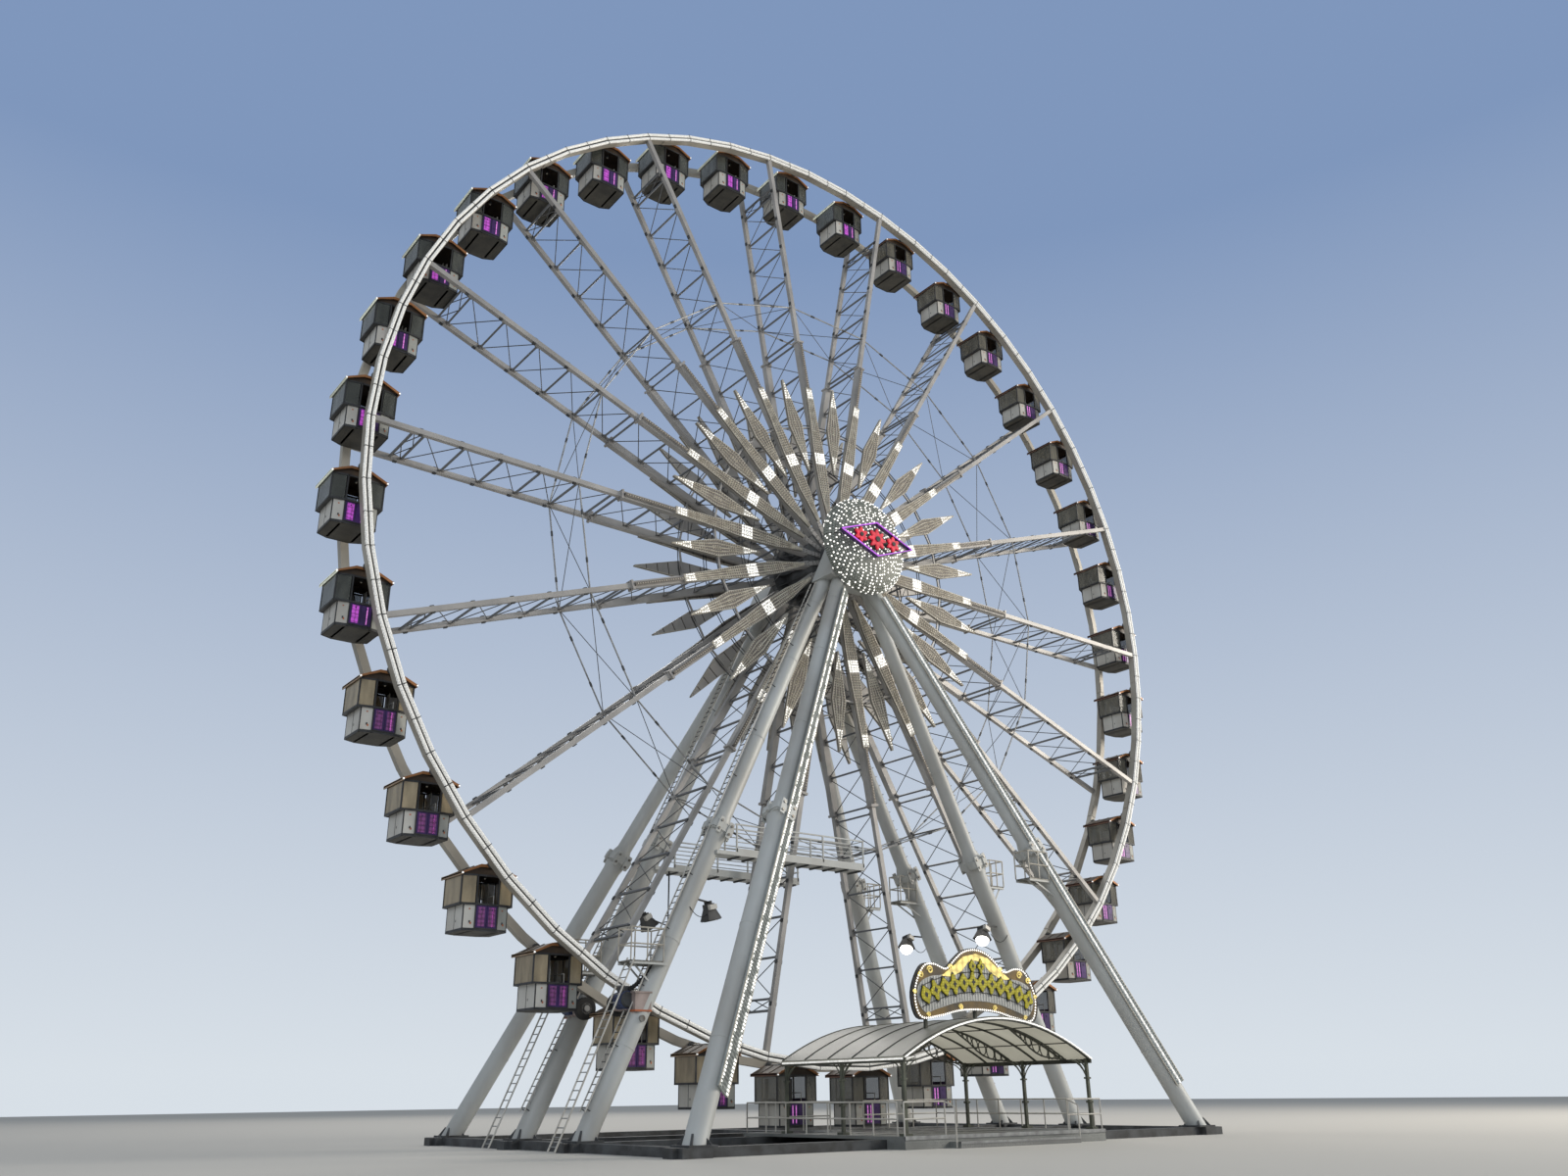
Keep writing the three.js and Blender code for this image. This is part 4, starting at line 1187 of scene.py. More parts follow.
def legSkin(shape, name):
    leg = allLegs[name]
    run, axes = leg["run"].normalized(), legFrame(name, 0)
    middle, cone, half, count = legs["collarAt"] / run.z, legs["cone"], legs["blockHalf"], legs["sides"]
    profile = [(legs["lower"], None), (legs["lower"], middle - cone - half),
               (legs["block"] * 0.93, middle - half), (legs["block"] * 0.93, middle + half),
               (legs["upper"], middle + cone + half), (legs["upper"], None)]
    points = []
    for at, (radius, distance) in enumerate(profile):
        level = legs["top"] if at else legs["bottom"]
        for step in range(count):
            x, y = round2(radius, 2 * math.pi * step / count)
            point = leg["foot"] + axes.col[0].xyz * x + axes.col[1].xyz * y
            points.append(point + run * ((level - point.z) / run.z if distance is None else distance))
    caps = [list(reversed(range(count))), list(range(len(points) - count, len(points)))]
    addFaces(shape, points, caps + sideFaces(count, len(profile)), "legPaint")


def roundedSquare(half, corner, steps=4):
    outline = []
    for quarter, (x, y) in enumerate(((1, 1), (-1, 1), (-1, -1), (1, -1))):
        for step in range(steps + 1):
            across, up = round2(corner, math.pi / 2 * (quarter + step / steps))
            outline.append((x * (half - corner) + across, y * (half - corner) + up))
    return outline


def legCollar(shape, name):
    block, half, thick = legs["block"], legs["blockHalf"], collar["plateHalf"]
    (size, lift, lip), (pin, reach), (out, wide, tall) = collar["lip"], collar["pin"], collar["ear"]
    place, upended = legFrame(name, legs["collarAt"]), Matrix.Rotation(math.pi / 2, 4, "X")
    for grow, level, deep in ((1, 0, half), (size, -half - lift, lip), (size, half + lift, lip)):
        outline = roundedSquare(block * grow, collar["corner"])
        addSlab(shape, outline, level - deep, level + deep, "legPaint", place)
    for face in hands:
        for x in (-collar["plateX"], collar["plateX"]):
            plate = place @ Matrix.Translation((x, face * (block + thick), 0)) @ upended
            addSlab(shape, collar["plate"], -thick, thick, "legPaint", plate)
            for z in (-collar["pinZ"], collar["pinZ"]):
                addTurned(shape, [(pin, -reach), (pin, reach)], 12, "pinSteel",
                          plate @ Matrix.Translation((0, z, 0)))
        addBox(shape, (face * block, -wide, -tall), (face * (block + out), wide, tall), "legPaint", place)


def legFoot(shape, name):
    (x, y), half, web = legPoint(name, legs["bottom"]).xy, footPlate["half"], footPlate["web"]
    low, top = legs["bottom"] + footPlate["gap"], legs["bottom"] + footPlate["thick"]
    addBox(shape, (x - half, y - half, low), (x + half, y + half, top), "darkSteel")
    for turn in range(4):
        reach = Vector((*round2(1, math.pi / 4 + turn * math.pi / 2), 0))
        start = Vector((x, y, top)) + reach * web
        sideways = Vector((-reach.y, reach.x, 0)) * footPlate["webHalf"]
        corners = [point + sideways * hand for hand in hands
                   for point in (start, start + reach * web, start + Vector((0, 0, footPlate["webTall"])))]
        addFaces(shape, corners, ((0, 1, 2), (5, 4, 3), (0, 3, 4, 1), (1, 4, 5, 2), (2, 5, 3, 0)),
                 "darkSteel")


def driveBracket(shape, side):
    x, z, half = tyreAt.x, tyreAt.z, drive["half"]
    addPlate(shape, roundedSquare(half, 0.04), side * drive["near"], side * drive["far"], "motorGrey",
             Matrix.Translation((x, 0, z)))
    addBox(shape, (x - half, side * (drive["far"] - 0.06), z - half),
           (legPoint("leg_inner_front_left", z).x, side * drive["armY"], z + half), "motorGrey")


def legFittings(shape, name):
    legCollar(shape, name)
    for height in legs["bands"]:
        stretch, half = "lower" if height < legs["collarAt"] else "upper", legs["bandHalf"]
        radius = legs[stretch] + legs["proud"]
        addTurned(shape, [(radius, -half), (radius, half)], legs["sides"], "legPaint", legFrame(name, height))
    legFoot(shape, name)
    if "inner" in name and "left" in name:
        driveBracket(shape, allLegs[name]["side"])


for name in allLegs:
    makePiece(name.replace("leg_", "leg_skin_"), built(legSkin, name), 30, node=name)
    makePiece(name.replace("leg_", "leg_fittings_"), built(legFittings, name), 30)
print("legs made")


# Slotted lamp board on the front left outer leg, a narrow one on the front right outer leg
board = {"low": 0.9, "high": 10.9, "thick": 0.03, "bulbPitch": 0.06, "bulbSize": 0.0185, "slotPitch": 0.075,
         "slotTall": 0.026, "slotWide": 0.007, "tabPitch": 0.9}
boards = {
    "net_board_left": {"leg": "leg_outer_front_left", "facing": (0.6, -1, 0), "wide": (0.170, 0.130),
                       "slots": 5, "columns": (-0.86, -0.66, 0.66, 0.86), "shift": -0.04,
                       "panel": "netPanel", "lit": 0.55},
    "net_board_right": {"leg": "leg_outer_front_right", "facing": (-0.3, -0.95, 0), "wide": (0.090, 0.070),
                        "slots": 0, "columns": (-0.78, -0.42, 0.42, 0.78), "shift": -0.06,
                        "panel": "netSilver", "lit": 0.0},
}


def legBoard(shape, settings, place, length):
    stand, wide, (low, high) = legs["lower"] + 0.012, board["slotWide"], settings["wide"]
    front, tall = stand + board["thick"], board["slotTall"]
    turn = Matrix(((1, 0, 0, 0), (0, 0, 1, 0), (0, 1, 0, 0), (0, 0, 0, 1)))
    addSlab(shape, [(-low, 0), (low, 0), (high, length), (-high, length)], stand - 0.006, front,
            settings["panel"], place @ turn)
    for hand in hands:
        addBar(shape, *placed(place, (hand * low, front, 0), (hand * high, front, length)), 0.016, 0.022,
               "lanceFrame")
    if not settings["slots"]:
        addTube(shape, *placed(place, (0, front + 0.008, 0), (0, front + 0.008, length)), 0.017, "lampWhite")
    for at in range(int(length / board["tabPitch"]) + 1):
        z = min(length - 0.03, at * board["tabPitch"])
        addBox(shape, (-0.04 - settings["shift"], 0.1, z), (0.04, stand, z + 0.03), "darkSteel", place)
    for row, z in enumerate(rows(length, board["slotPitch"])):
        half = between(low, high, z / length) * 0.52
        for at in range(settings["slots"]):
            x = between(-half, half, (at + 0.25 + 0.5 * (row % 2)) / settings["slots"])
            addBox(shape, (x - wide, front - 0.002, z - tall), (x + wide, front + 0.002, z + tall),
                   "netSlot", place)


def boardBulbs(settings, place, length):
    random.seed(23)
    front, outward = legs["lower"] + 0.012 + board["thick"], place.to_3x3() @ Vector((0, 1, 0))
    bulbs = {True: [], False: []}
    for row, z in enumerate(rows(length, board["bulbPitch"])):
        for column, across in enumerate(settings["columns"]):
            point = place @ Vector((across * between(*settings["wide"], z / length), front, z))
            patch = (row // 3 + column // 2) % 2 == 0
            glowing = settings["lit"] and (patch or random.random() < settings["lit"])
            bulbs[bool(glowing)].append((point, outward))
    return bulbs


for label, settings in boards.items():
    place, length = legRun(settings["leg"], board, settings["facing"])
    place = place @ Matrix.Translation((settings["shift"], 0, 0))
    makePiece(label, built(legBoard, settings, place, length))
    bulbs = boardBulbs(settings, place, length)
    if bulbs[True]:
        makeStuds(label + "_lit", bulbs[True], bulb, board["bulbSize"], "bulbLit")
    makeStuds(label + "_dull", bulbs[False], bulb, board["bulbSize"], "bulbSilver")


# Ladders up the left inner legs, step pegs up three of the right legs
ladder = {"low": 0.5, "high": 11.0, "half": 0.085, "stand": 0.055, "rail": 0.014, "rung": 0.009,
          "pitch": 0.13, "stayPitch": 1.1}
pegs = {"low": 0.8, "high": 10.8, "pitch": 0.22, "length": 0.08, "radius": 0.010}
for name in ("leg_inner_front_left", "leg_inner_back_left"):
    place, length = legRun(name, ladder, (-1, 0, 0))
    out, half = legs["lower"] + ladder["stand"], ladder["half"]
    rails, rungs = [], []
    for x in (-half, half):
        rails.append(placed(place, (x, out, 0), (x, out, length)))
        for at in range(int(length / ladder["stayPitch"]) + 1):
            z = at * ladder["stayPitch"] + 0.05
            rungs.append(placed(place, (x, legs["upper"] * 0.8, z), (x, out, z)))
    rungs += [placed(place, (-half, out, z), (half, out, z)) for z in rows(length, ladder["pitch"])]
    label = name.replace("leg_inner", "ladder")
    makeRods(label + "_rails", rails, ladder["rail"], "cabinWhite")
    makeRods(label + "_rungs", rungs, ladder["rung"], "darkSteel", count=6)
for name in ("leg_inner_back_right", "leg_inner_front_right", "leg_outer_front_right"):
    place, length = legRun(name, pegs, (1, 0, 0))
    ends = (legs["upper"] - 0.01, legs["lower"] + pegs["length"])
    stubs = [placed(place, *((0, y, z) for y in ends)) for z in rows(length, pegs["pitch"])]
    makeRods(name.replace("leg", "pegs"), stubs, pegs["radius"], "galvanised", count=6)
print("boards, ladders and pegs made")


# Catwalk rails, toe boards and grid floors
walkway = {"floor": 5.06, "start": -3.13, "end": 0.06, "half": 0.21, "rail": 0.52, "toe": 0.07, "leg": 1.075,
           "beams": 10, "beam": (0.02, 0.10, 0.07), "toeThick": 0.012, "railIn": 0.013, "tube": 0.010,
           "shares": (0.36, 0.68, 1.0)}


def walkwayDress(shape, rails, side):
    start, end, half, floor, tall = (walkway[label] for label in ("start", "end", "half", "floor", "rail"))
    y, inset = side * walkway["leg"], walkway["railIn"]
    heights = [floor + tall * share for share in walkway["shares"]]
    addBox(shape, (start, y - half + 0.02, floor), (end - 0.01, y + half - 0.02, floor + 0.006), "walkGrid")
    for hand in hands:
        edge = y + hand * half
        board = (end, edge - hand * walkway["toeThick"], floor + walkway["toe"])
        addBox(shape, (start, edge, floor), board, "legPaint")
        rails += [[(x, edge - hand * inset, z) for x in (start, end)] for z in heights[:2]]
    rails += [[(end - inset, y + hand * half, z) for hand in hands] for z in heights]
    wide, low, high = walkway["beam"]
    for x in spread(start + 0.1, end - 0.1, walkway["beams"]):
        addBox(shape, (x - wide, y - half + 0.01, floor - low), (x + wide, y + half - 0.01, floor - high),
               "darkSteel")


for sideName, side in sides.items():
    rails = []
    makePiece(f"catwalk_fittings_{sideName}", built(walkwayDress, rails, side))
    makeRods(f"catwalk_rails_{sideName}", rails, walkway["tube"], "legPaint")
print("catwalks made")


# Railed stands on the legs: left, right, front, back and floor height of each
stands = {
    "leg_inner_front_left": (-5.36, -4.70, -1.32, -0.89, 3.00),
    "leg_inner_back_left": (-5.36, -4.70, 0.89, 1.32, 3.00),
    "leg_inner_front_right": (3.76, 4.16, -1.23, -0.89, 5.02),
    "leg_inner_back_right": (3.02, 3.52, 0.89, 1.25, 4.90),
    "leg_outer_front_right": (2.86, 3.44, -3.16, -2.78, 4.86),
    "leg_outer_back_right": (3.70, 4.08, 2.78, 3.14, 5.02),
}
railing = {"height": 0.55, "post": 0.0145, "slab": 0.025, "beam": 0.035, "brace": 0.016, "drop": 0.42,
           "bar": 0.03, "reach": 0.85, "grip": 0.11}


def railedFloor(shape, rails, name):
    x0, x1, y0, y1, floor = stands[name]
    slab, brace, bar = railing["slab"], railing["brace"], railing["bar"]
    addBox(shape, (x0, y0, floor - slab), (x1, y1, floor), "walkGrid")
    for y in (y0, y1 - bar):
        addBox(shape, (x0, y, floor - railing["beam"] - slab), (x1, y + bar, floor - slab), "legPaint")
    corners = [(x0, y0), (x1, y0), (x1, y1), (x0, y1)]
    middle, tall = (x0 + x1) / 2, railing["height"]
    for z in (floor + tall / 2, floor + tall):
        rails.append([(x, y, z) for x, y in corners + corners[:1]])
    rails += [[(x, y, z) for z in (floor, floor + tall)] for x, y in corners + [(middle, y0), (middle, y1)]]
    near, low = legPoint(name, floor), legPoint(name, floor - railing["drop"])
    far = x0 if abs(x0 - near.x) > abs(x1 - near.x) else x1
    for y in (y0 + bar, y1 - bar):
        held = min(max(y, low.y - railing["grip"]), low.y + railing["grip"])
        start, end = (between(near.x, far, railing["reach"]), held, floor - slab), (low.x, held, low.z)
        addBar(shape, start, end, brace * 2, brace, "legPaint")
        addBar(shape, (far, y, floor - slab * 2), (near.x, y, floor - slab * 2), bar, bar, "legPaint")


for name in stands:
    rails = []
    label = name.replace("leg", "platform")
    makePiece(label, built(railedFloor, rails, name))
    makeRods(label + "_rails", rails, railing["post"], "lanceFrame", count=6)
print("stands made")


# Floodlights on the inner legs, aimed in and down: reach, rise, aim and lens of each
flood = {"height": 4.10, "small": 0.08, "large": 0.145, "length": 0.29, "shift": 0.10, "neck": 0.08,
         "arm": 0.030, "cable": 0.007, "cableSag": 0.16,
         "gearBox": ((-0.075, -0.16, 0.02), (0.075, -0.065, 0.11)),
         "foot": ((-0.02, -0.10, -0.05), (0.02, 0.10, 0.0)), "held": (0.004, -0.12),
         "lampEnd": (0.26, 0.16, -0.12)}
floodLamps = {
    "leg_inner_front_left": (0.22, -0.03, (0.24, 0, -1), "smokedGlass"),
    "leg_inner_back_left": (0.27, 0.04, (0.70, 0, -1), "smokedGlass"),
    "leg_inner_front_right": (0.44, 0.0, (-0.42, -0.30, -0.95), "floodLens"),
    "leg_inner_back_right": (0.47, 0.03, (-0.42, -0.30, -0.95), "floodLens"),
}


def sagging(start, end, sag, share):
    return start.lerp(end, share) - Vector((0, 0, sag * 4 * share * (1 - share)))


def floodlight(shape, cables, name):
    reach, rise, aim, lens = floodLamps[name]
    hand, side = allLegs[name]["across"], allLegs[name]["side"]
    small, large, level, shift = (flood[label] for label in ("small", "large", "length", "shift"))
    near = legPoint(name, flood["height"])
    start = near + Vector((-hand * (legs["lower"] + reach), side * shift, rise))
    place = along(start, start + Vector(aim).normalized())[0]
    profile = ((small, 0), (small, flood["neck"]), (large, level))
    corners = placed(place, *((x * half, y * half, z) for half, z in profile
                              for x, y in ((-1, -1), (1, -1), (1, 1), (-1, 1))))
    addFaces(shape, corners, [[3, 2, 1, 0], [8, 9, 10, 11]] + sideFaces(4, 3),
             "floodDark" if hand > 0 else "floodGrey")
    glass = large - 0.015
    addBox(shape, (-glass, -glass, level + 0.001), (glass, glass, level + 0.012), "floodDark", place)
    bulge = [(glass * 1.08 * math.cos(turn), level + 0.01 + glass * math.sin(turn))
             for turn in spread(0, 1.4, 5)]
    addTurned(shape, bulge if hand > 0 else [(glass, level + 0.01), (glass, level + 0.02)], 20, lens, place)
    addBox(shape, *flood["gearBox"], "cabinWhite", place)
    addBox(shape, *flood["foot"], "floodDark", place)
    arm, (proud, drop), (x, y, z) = flood["arm"], flood["held"], flood["lampEnd"]
    addBar(shape, near + Vector((0, side * shift, arm * 2)), start + Vector((0, 0, arm)), arm, arm,
           "floodDark")
    held = legPoint(name, flood["height"] + drop) + Vector((0, side * (legs["lower"] + proud), 0))
    lamp = near + Vector((-hand * (legs["lower"] + x), side * y, z))
    cables.append([sagging(held, lamp, flood["cableSag"], share) for share in spread(0, 1, 13)])


def allFloods(shape, cables):
    for name in floodLamps:
        floodlight(shape, cables, name)


cables = []
makePiece("floodlights", built(allFloods, cables))
makeRods("flood_cables", cables, flood["cable"], "floodDark", count=6)
makeRods("flood_pole", [[(-3.20, 0.93, 4.99), (-3.20, 0.93, 3.93), (-3.50, 0.98, 4.02)]], 0.017, "floodDark")
print("floodlights made")


# Drive gear at each tyre: motor, gear housing, guard, hose and a ladder up to the work platform
gear = {
    "motor": 0.150, "motorY": (0.82, 1.08), "motorShift": (-0.10, 0.05), "fins": 14, "fin": 0.012,
    "housing": (0.32, 0.30), "houseY": (1.10, 1.25), "houseX": -0.05, "houseRise": 0.02, "hose": 0.036,
    "hosePitch": 0.060, "hoseSag": 0.06, "hoseEnd": (-4.78, 1.14, 2.98), "ladderTop": (-5.28, 3.05),
    "ladderFoot": (-6.62, 0.03), "ladderHalf": 0.12, "ladderY": 1.20, "rungPitch": 0.15, "hubCap": 0.055,
    "tread": [(0.110, -0.060), (0.150, -0.062), (0.196, -0.052), (0.199, -0.030), (0.199, 0.030),
              (0.196, 0.052), (0.150, 0.062), (0.110, 0.060)],
}


def driveGear(shape, side):
    (x, z), radius = (at + shift for at, shift in zip(tyreAt.xz, gear["motorShift"])), gear["motor"]
    near, far = (side * reach for reach in gear["motorY"])
    addTube(shape, (x, near, z), (x, far, z), radius, "motorBlue", 24)
    for at in range(gear["fins"]):
        place = Matrix.Translation((x, 0, z)) @ Matrix.Rotation(2 * math.pi * at / gear["fins"], 4, "Y")
        addBox(shape, (-0.005, near + side * 0.03, radius - 0.004),
               (0.005, far - side * 0.07, radius + gear["fin"]), "motorBlue", place)
    addTube(shape, (x, far, z), (x, far + side * 0.05, z), radius * 0.9, "darkSteel", 24, radius * 0.72)
    addBox(shape, (x - 0.09, near + side * 0.05, z + radius - 0.01),
           (x + 0.07, far - side * 0.06, z + radius + 0.08), "darkSteel")
    (wide, tall), (face, back) = gear["housing"], (side * reach for reach in gear["houseY"])
    left, low = tyreAt.x + gear["houseX"], tyreAt.z + gear["houseRise"] - tall / 2
    for grow, bottom, top, finish in ((0, low, low + tall, "motorGrey"),
                                      (0.01, low - 0.015, low + 0.015, "cabinMark"),
                                      (0.01, low + tall - 0.015, low + tall + 0.015, "motorGrey")):
        addBox(shape, (left - grow, face - side * grow, bottom),
               (left + wide + grow, back + side * grow, top), finish)
    boss = legPoint("leg_inner_front_left", 2.05)
    start, end = ((boss.x, side * (legs["lower"] - boss.y + proud), boss.z) for proud in (-0.02, 0.03))
    addTube(shape, start, end, 0.055, "pinSteel", 16)


def driveHose(shape, start, end):
    for share in middles(round((end - start).length / gear["hosePitch"])):
        centre = sagging(start, end, gear["hoseSag"], share)
        size, half = gear["hose"] * (1.25 - 0.45 * share), gear["hosePitch"] * 0.42
        addTurned(shape, [(size * 0.7, -half), (size, -half / 2), (size, half / 2), (size * 0.7, half)], 10,
                  "rubber", along(centre, centre + (end - start).normalized())[0])


def tyreTread(shape, side):
    x, z, middle = tyreAt.x, tyreAt.z, side * (wheel["rimInner"] + wheel["rimSection"] / 2)
    place = Matrix.Translation((x, middle, z)) @ Matrix.Rotation(math.pi / 2, 4, "X")
    addTurned(shape, gear["tread"], 40, "rubber", place)
    addTurned(shape, [(0.105, -0.066), (0.105, 0.066)], 28, "darkSteel", place)
    for reach, radius in (((side * 0.645, side * 0.809), 0.045),
                          ((middle - side * 0.060, middle - side * 0.085), gear["hubCap"])):
        addTube(shape, (x, min(reach), z), (x, max(reach), z), radius, "galvanised", 20)
    for at in range(6):
        bolt = place @ Matrix.Rotation(math.pi / 3 * at, 4, "Z") @ Matrix.Translation((0.082, 0, -0.074))
        addTurned(shape, [(0.010, 0), (0.010, 0.148)], 6, "pinSteel", bolt)


for sideName, side in sides.items():
    makePiece(f"drive_gear_{sideName}", built(driveGear, side), 40)
    x, y, z = gear["hoseEnd"]
    start, end = Vector((tyreAt.x - 0.05, side, tyreAt.z + 0.22)), Vector((x, side * y, z))
    makePiece(f"drive_hose_{sideName}", built(driveHose, start, end), 40)
    core = [sagging(start, end, gear["hoseSag"], share) for share in spread(0, 1, 9)]
    makeRods(f"drive_hose_core_{sideName}", [core], gear["hose"] * 0.6, "rubber")
    (x0, z0), (x1, z1) = gear["ladderTop"], gear["ladderFoot"]
    edgeLines = [side * gear["ladderY"] + hand * gear["ladderHalf"] for hand in hands]
    shares = middles(int(math.hypot(x1 - x0, z1 - z0) / gear["rungPitch"]))
    rungs = [[(between(x0, x1, share), y, between(z0, z1, share)) for y in edgeLines] for share in shares]
    makeRods(f"drive_ladder_rails_{sideName}", [[(x0, y, z0), (x1, y, z1)] for y in edgeLines], 0.016,
             "cabinWhite")
    makeRods(f"drive_ladder_rungs_{sideName}", rungs, 0.010, "galvanised", count=6)
    makePiece(f"tyre_{sideName}_tread", built(tyreTread, side), 35, f"tyre_{sideName}",
              f"drive_tyre_{sideName}")
print("drive gear made")


# Entrance canopy: vaulted sheet on ribs and on crescent trusses filled with ovals, on posts with fans
canopy = {
    "half": 2.28, "front": -4.76, "back": -1.51, "eaves": 1.345, "crown": 1.985, "sheet": 0.034,
    "ribs": 6, "rib": (0.045, 0.024), "trusses": (-4.203, -2.87, -1.535), "chord": 0.015, "strut": 1.78,
    "haunch": [(0.72, 1.90), (0.90, 1.80), (1.10, 1.69), (1.30, 1.545), (1.45, 1.465), (1.60, 1.415),
               (1.78, 1.385), (1.95, 1.375), (2.24, 1.36)],
    "ovals": (0.84, 2.12), "oval": 0.010, "postInset": 0.045, "postHalf": 0.026, "fan": 0.40, "fanTall": 0.44,
    "purlins": (-1.7, -0.9, 0, 0.9, 1.7), "fascia": 0.06, "postFoot": 0.1904,
    "postRings": ((0.075, 0.1904, 0.23), (0.045, 0.62, 0.66), (0.045, 1.02, 1.05)),
}
roofHalf, roofFront, roofBack, roofEaves = (canopy[label] for label in ("half", "front", "back", "eaves"))


def archHeight(x, lift=0.0):
    return roofEaves + lift + (canopy["crown"] - roofEaves) * (1 - (x / roofHalf) ** 2)


def chordHeight(x):
    return follow(canopy["haunch"], abs(x), archHeight(x))


def archLine(y, lift):
    return [(x, y, archHeight(x) + lift) for x in spread(-roofHalf, roofHalf, 41)]


def archBand(shape, low, high, fromY, toY, finish):
    addPlate(shape, [(x, z) for x, y, z in archLine(0, low) + archLine(0, high)[::-1]], fromY, toY, finish)


def canopySheet(shape):
    thick = canopy["sheet"]
    # the top layer glows faintly and the underside layer, a lighter copy, glows more: painted daylight
    # through the sheet
    archBand(shape, thick / 2, thick, roofFront, roofBack, "roofSheet")
    archBand(shape, 0, thick / 2, roofFront, roofBack, "roofUnder")


def canopyPosts(shape, fans):
    half = canopy["postHalf"]
    for y in spread(roofFront + 0.09, roofBack - 0.09, 3):
        for hand in hands:
            x = hand * (roofHalf - canopy["postInset"])
            for size, low, high in ((half, canopy["postFoot"], roofEaves + 0.02), *canopy["postRings"]):
                addBox(shape, (x - size, y - size, low), (x + size, y + size, high), "postPaint")
            for across, onward in ((-hand, 0), (0, -1), (0, 1)):
                for share in (1.0, 0.62):
                    reach, tall = canopy["fan"] * share, canopy["fanTall"] * share
                    if roofFront < y + onward * reach < roofBack:
                        curve = (round2(1, turn) for turn in spread(0, math.pi / 2, 8))
                        fans.append([(x + across * reach * (1 - out), y + onward * reach * (1 - out),
                                      roofEaves - tall * (1 - up)) for out, up in curve])


def canopyTrusses():
    chords, ovals = [], []
    depth, strut = canopy["rib"][1], canopy["strut"]
    for y in canopy["trusses"]:
        chords.append(archLine(y, -depth))
        for hand in hands:
            chords.append([(hand * x, y, z) for x, z in canopy["haunch"]])
            chords.append([(hand * strut, y, archHeight(strut)),
                           (hand * strut, y, chordHeight(strut) - 0.03)])
        x, end = canopy["ovals"]
        while x < end:
            gap = archHeight(x) - depth - chordHeight(x)
            wide = max(0.05, 0.43 * gap)
            for hand in hands:
                ring = []
                for out, up in (round2(1, turn) for turn in spread(0, 2 * math.pi, 15)):
                    at = hand * (x + wide + wide * out)
                    ring.append((at, y, (archHeight(at) - depth + chordHeight(at)) / 2 + gap / 2 * up))
                ovals.append(ring)
            x += 2 * wide + 0.018
    ovals += [[(x, y, archHeight(x) - 0.012) for y in (roofFront + 0.02, roofBack - 0.02)]
              for x in canopy["purlins"]]
    return chords, ovals


def canopyRibs(shape):
    wide, deep = canopy["rib"]
    for y in spread(roofFront + wide / 2, roofBack - wide / 2, canopy["ribs"]):
        archBand(shape, -deep, 0.002, y - wide / 2, y + wide / 2, "archIron")
    for hand in hands:
        addBox(shape, (hand * (roofHalf - 0.03), roofFront, roofEaves - canopy["fascia"]),
               (hand * (roofHalf + 0.004), roofBack, roofEaves + 0.01), "archIron")


fans = []
posts = built(canopyPosts, fans)
chords, ovals = canopyTrusses()
seams = [archLine(y, canopy["sheet"] + 0.004)
         for y in spread(roofFront + 0.03, roofBack - 0.03, canopy["ribs"])]
roofLamps = [[(x, y - 0.015, z) for x, y, z in archLine(roofFront, 0.012)]]
roofLamps += [[(hand * (roofHalf + 0.012), y, roofEaves - 0.01) for y in (roofFront + 0.04, roofBack - 0.04)]
              for hand in hands]
makePiece("canopy_sheet", built(canopySheet), 30, node="entrance_canopy")
makePiece("canopy_posts", posts)
makePiece("canopy_ribs", built(canopyRibs))
makeRods("canopy_seams", seams, 0.011, "archIron", count=6)
makeRods("canopy_fans", fans, 0.011, "postPaint", count=6)
makeRods("canopy_chords", chords, canopy["chord"], "archIron", count=6)
makeRods("canopy_ovals", ovals, canopy["oval"], "archIron", count=5)
makeRods("canopy_lamps", roofLamps, 0.014, "lampWhite")
print("canopy made")


# Show board over the way in: bronze frame with bulbs, barred field, gold crest and a row of generic motifs
signBoard = {
    "y": -4.21, "bulbPitch": 0.050, "bulbSize": 0.019, "bulbInset": 0.955, "bars": 41,
    "wires": (-0.17, 0.0, 0.17),
    "outline": [(0, 2.15), (0.5, 2.12), (1.0, 2.02), (1.45, 2.0), (1.57, 2.41), (1.35, 2.84), (1.07, 2.91),
                (0.77, 2.84), (0.53, 3.01), (0.30, 3.155), (0, 3.21)],
    "field": [(0, 2.31), (0.5, 2.27), (1.0, 2.15), (1.27, 2.09), (1.42, 2.25), (1.44, 2.45), (1.33, 2.60),
              (1.1, 2.69), (0.85, 2.72), (0.62, 2.80), (0.4, 2.88), (0.2, 2.98), (0, 3.0)],
    "crest": [(0.86, 2.70), (0.52, 2.90), (0.30, 3.05), (0, 3.11), (-0.30, 3.05), (-0.52, 2.90),
              (-0.86, 2.70), (-0.62, 2.70), (-0.37, 2.80), (-0.20, 2.96), (0, 3.00), (0.20, 2.96),
              (0.37, 2.80), (0.62, 2.70)],
    "motifs": 12, "motifHalf": 1.27, "motifSize": (0.112, 0.155),
    "crestMotifs": ((-0.105, 2.895), (0.105, 2.895)),
    "lozenge": [(0, -1), (0.9, -0.25), (0.9, 0.25), (0, 1), (-0.9, 0.25), (-0.9, -0.25)],
    "scrolls": ((1.12, 2.79, 0.07), (1.34, 2.70, 0.06), (1.50, 2.42, 0.04), (0.62, 2.86, 0.05),
                (0.42, 2.20, 0.05), (1.2, 2.06, 0.04)),
    "rowTop": 2.625, "rowBend": 0.155,
}
boardY = signBoard["y"]


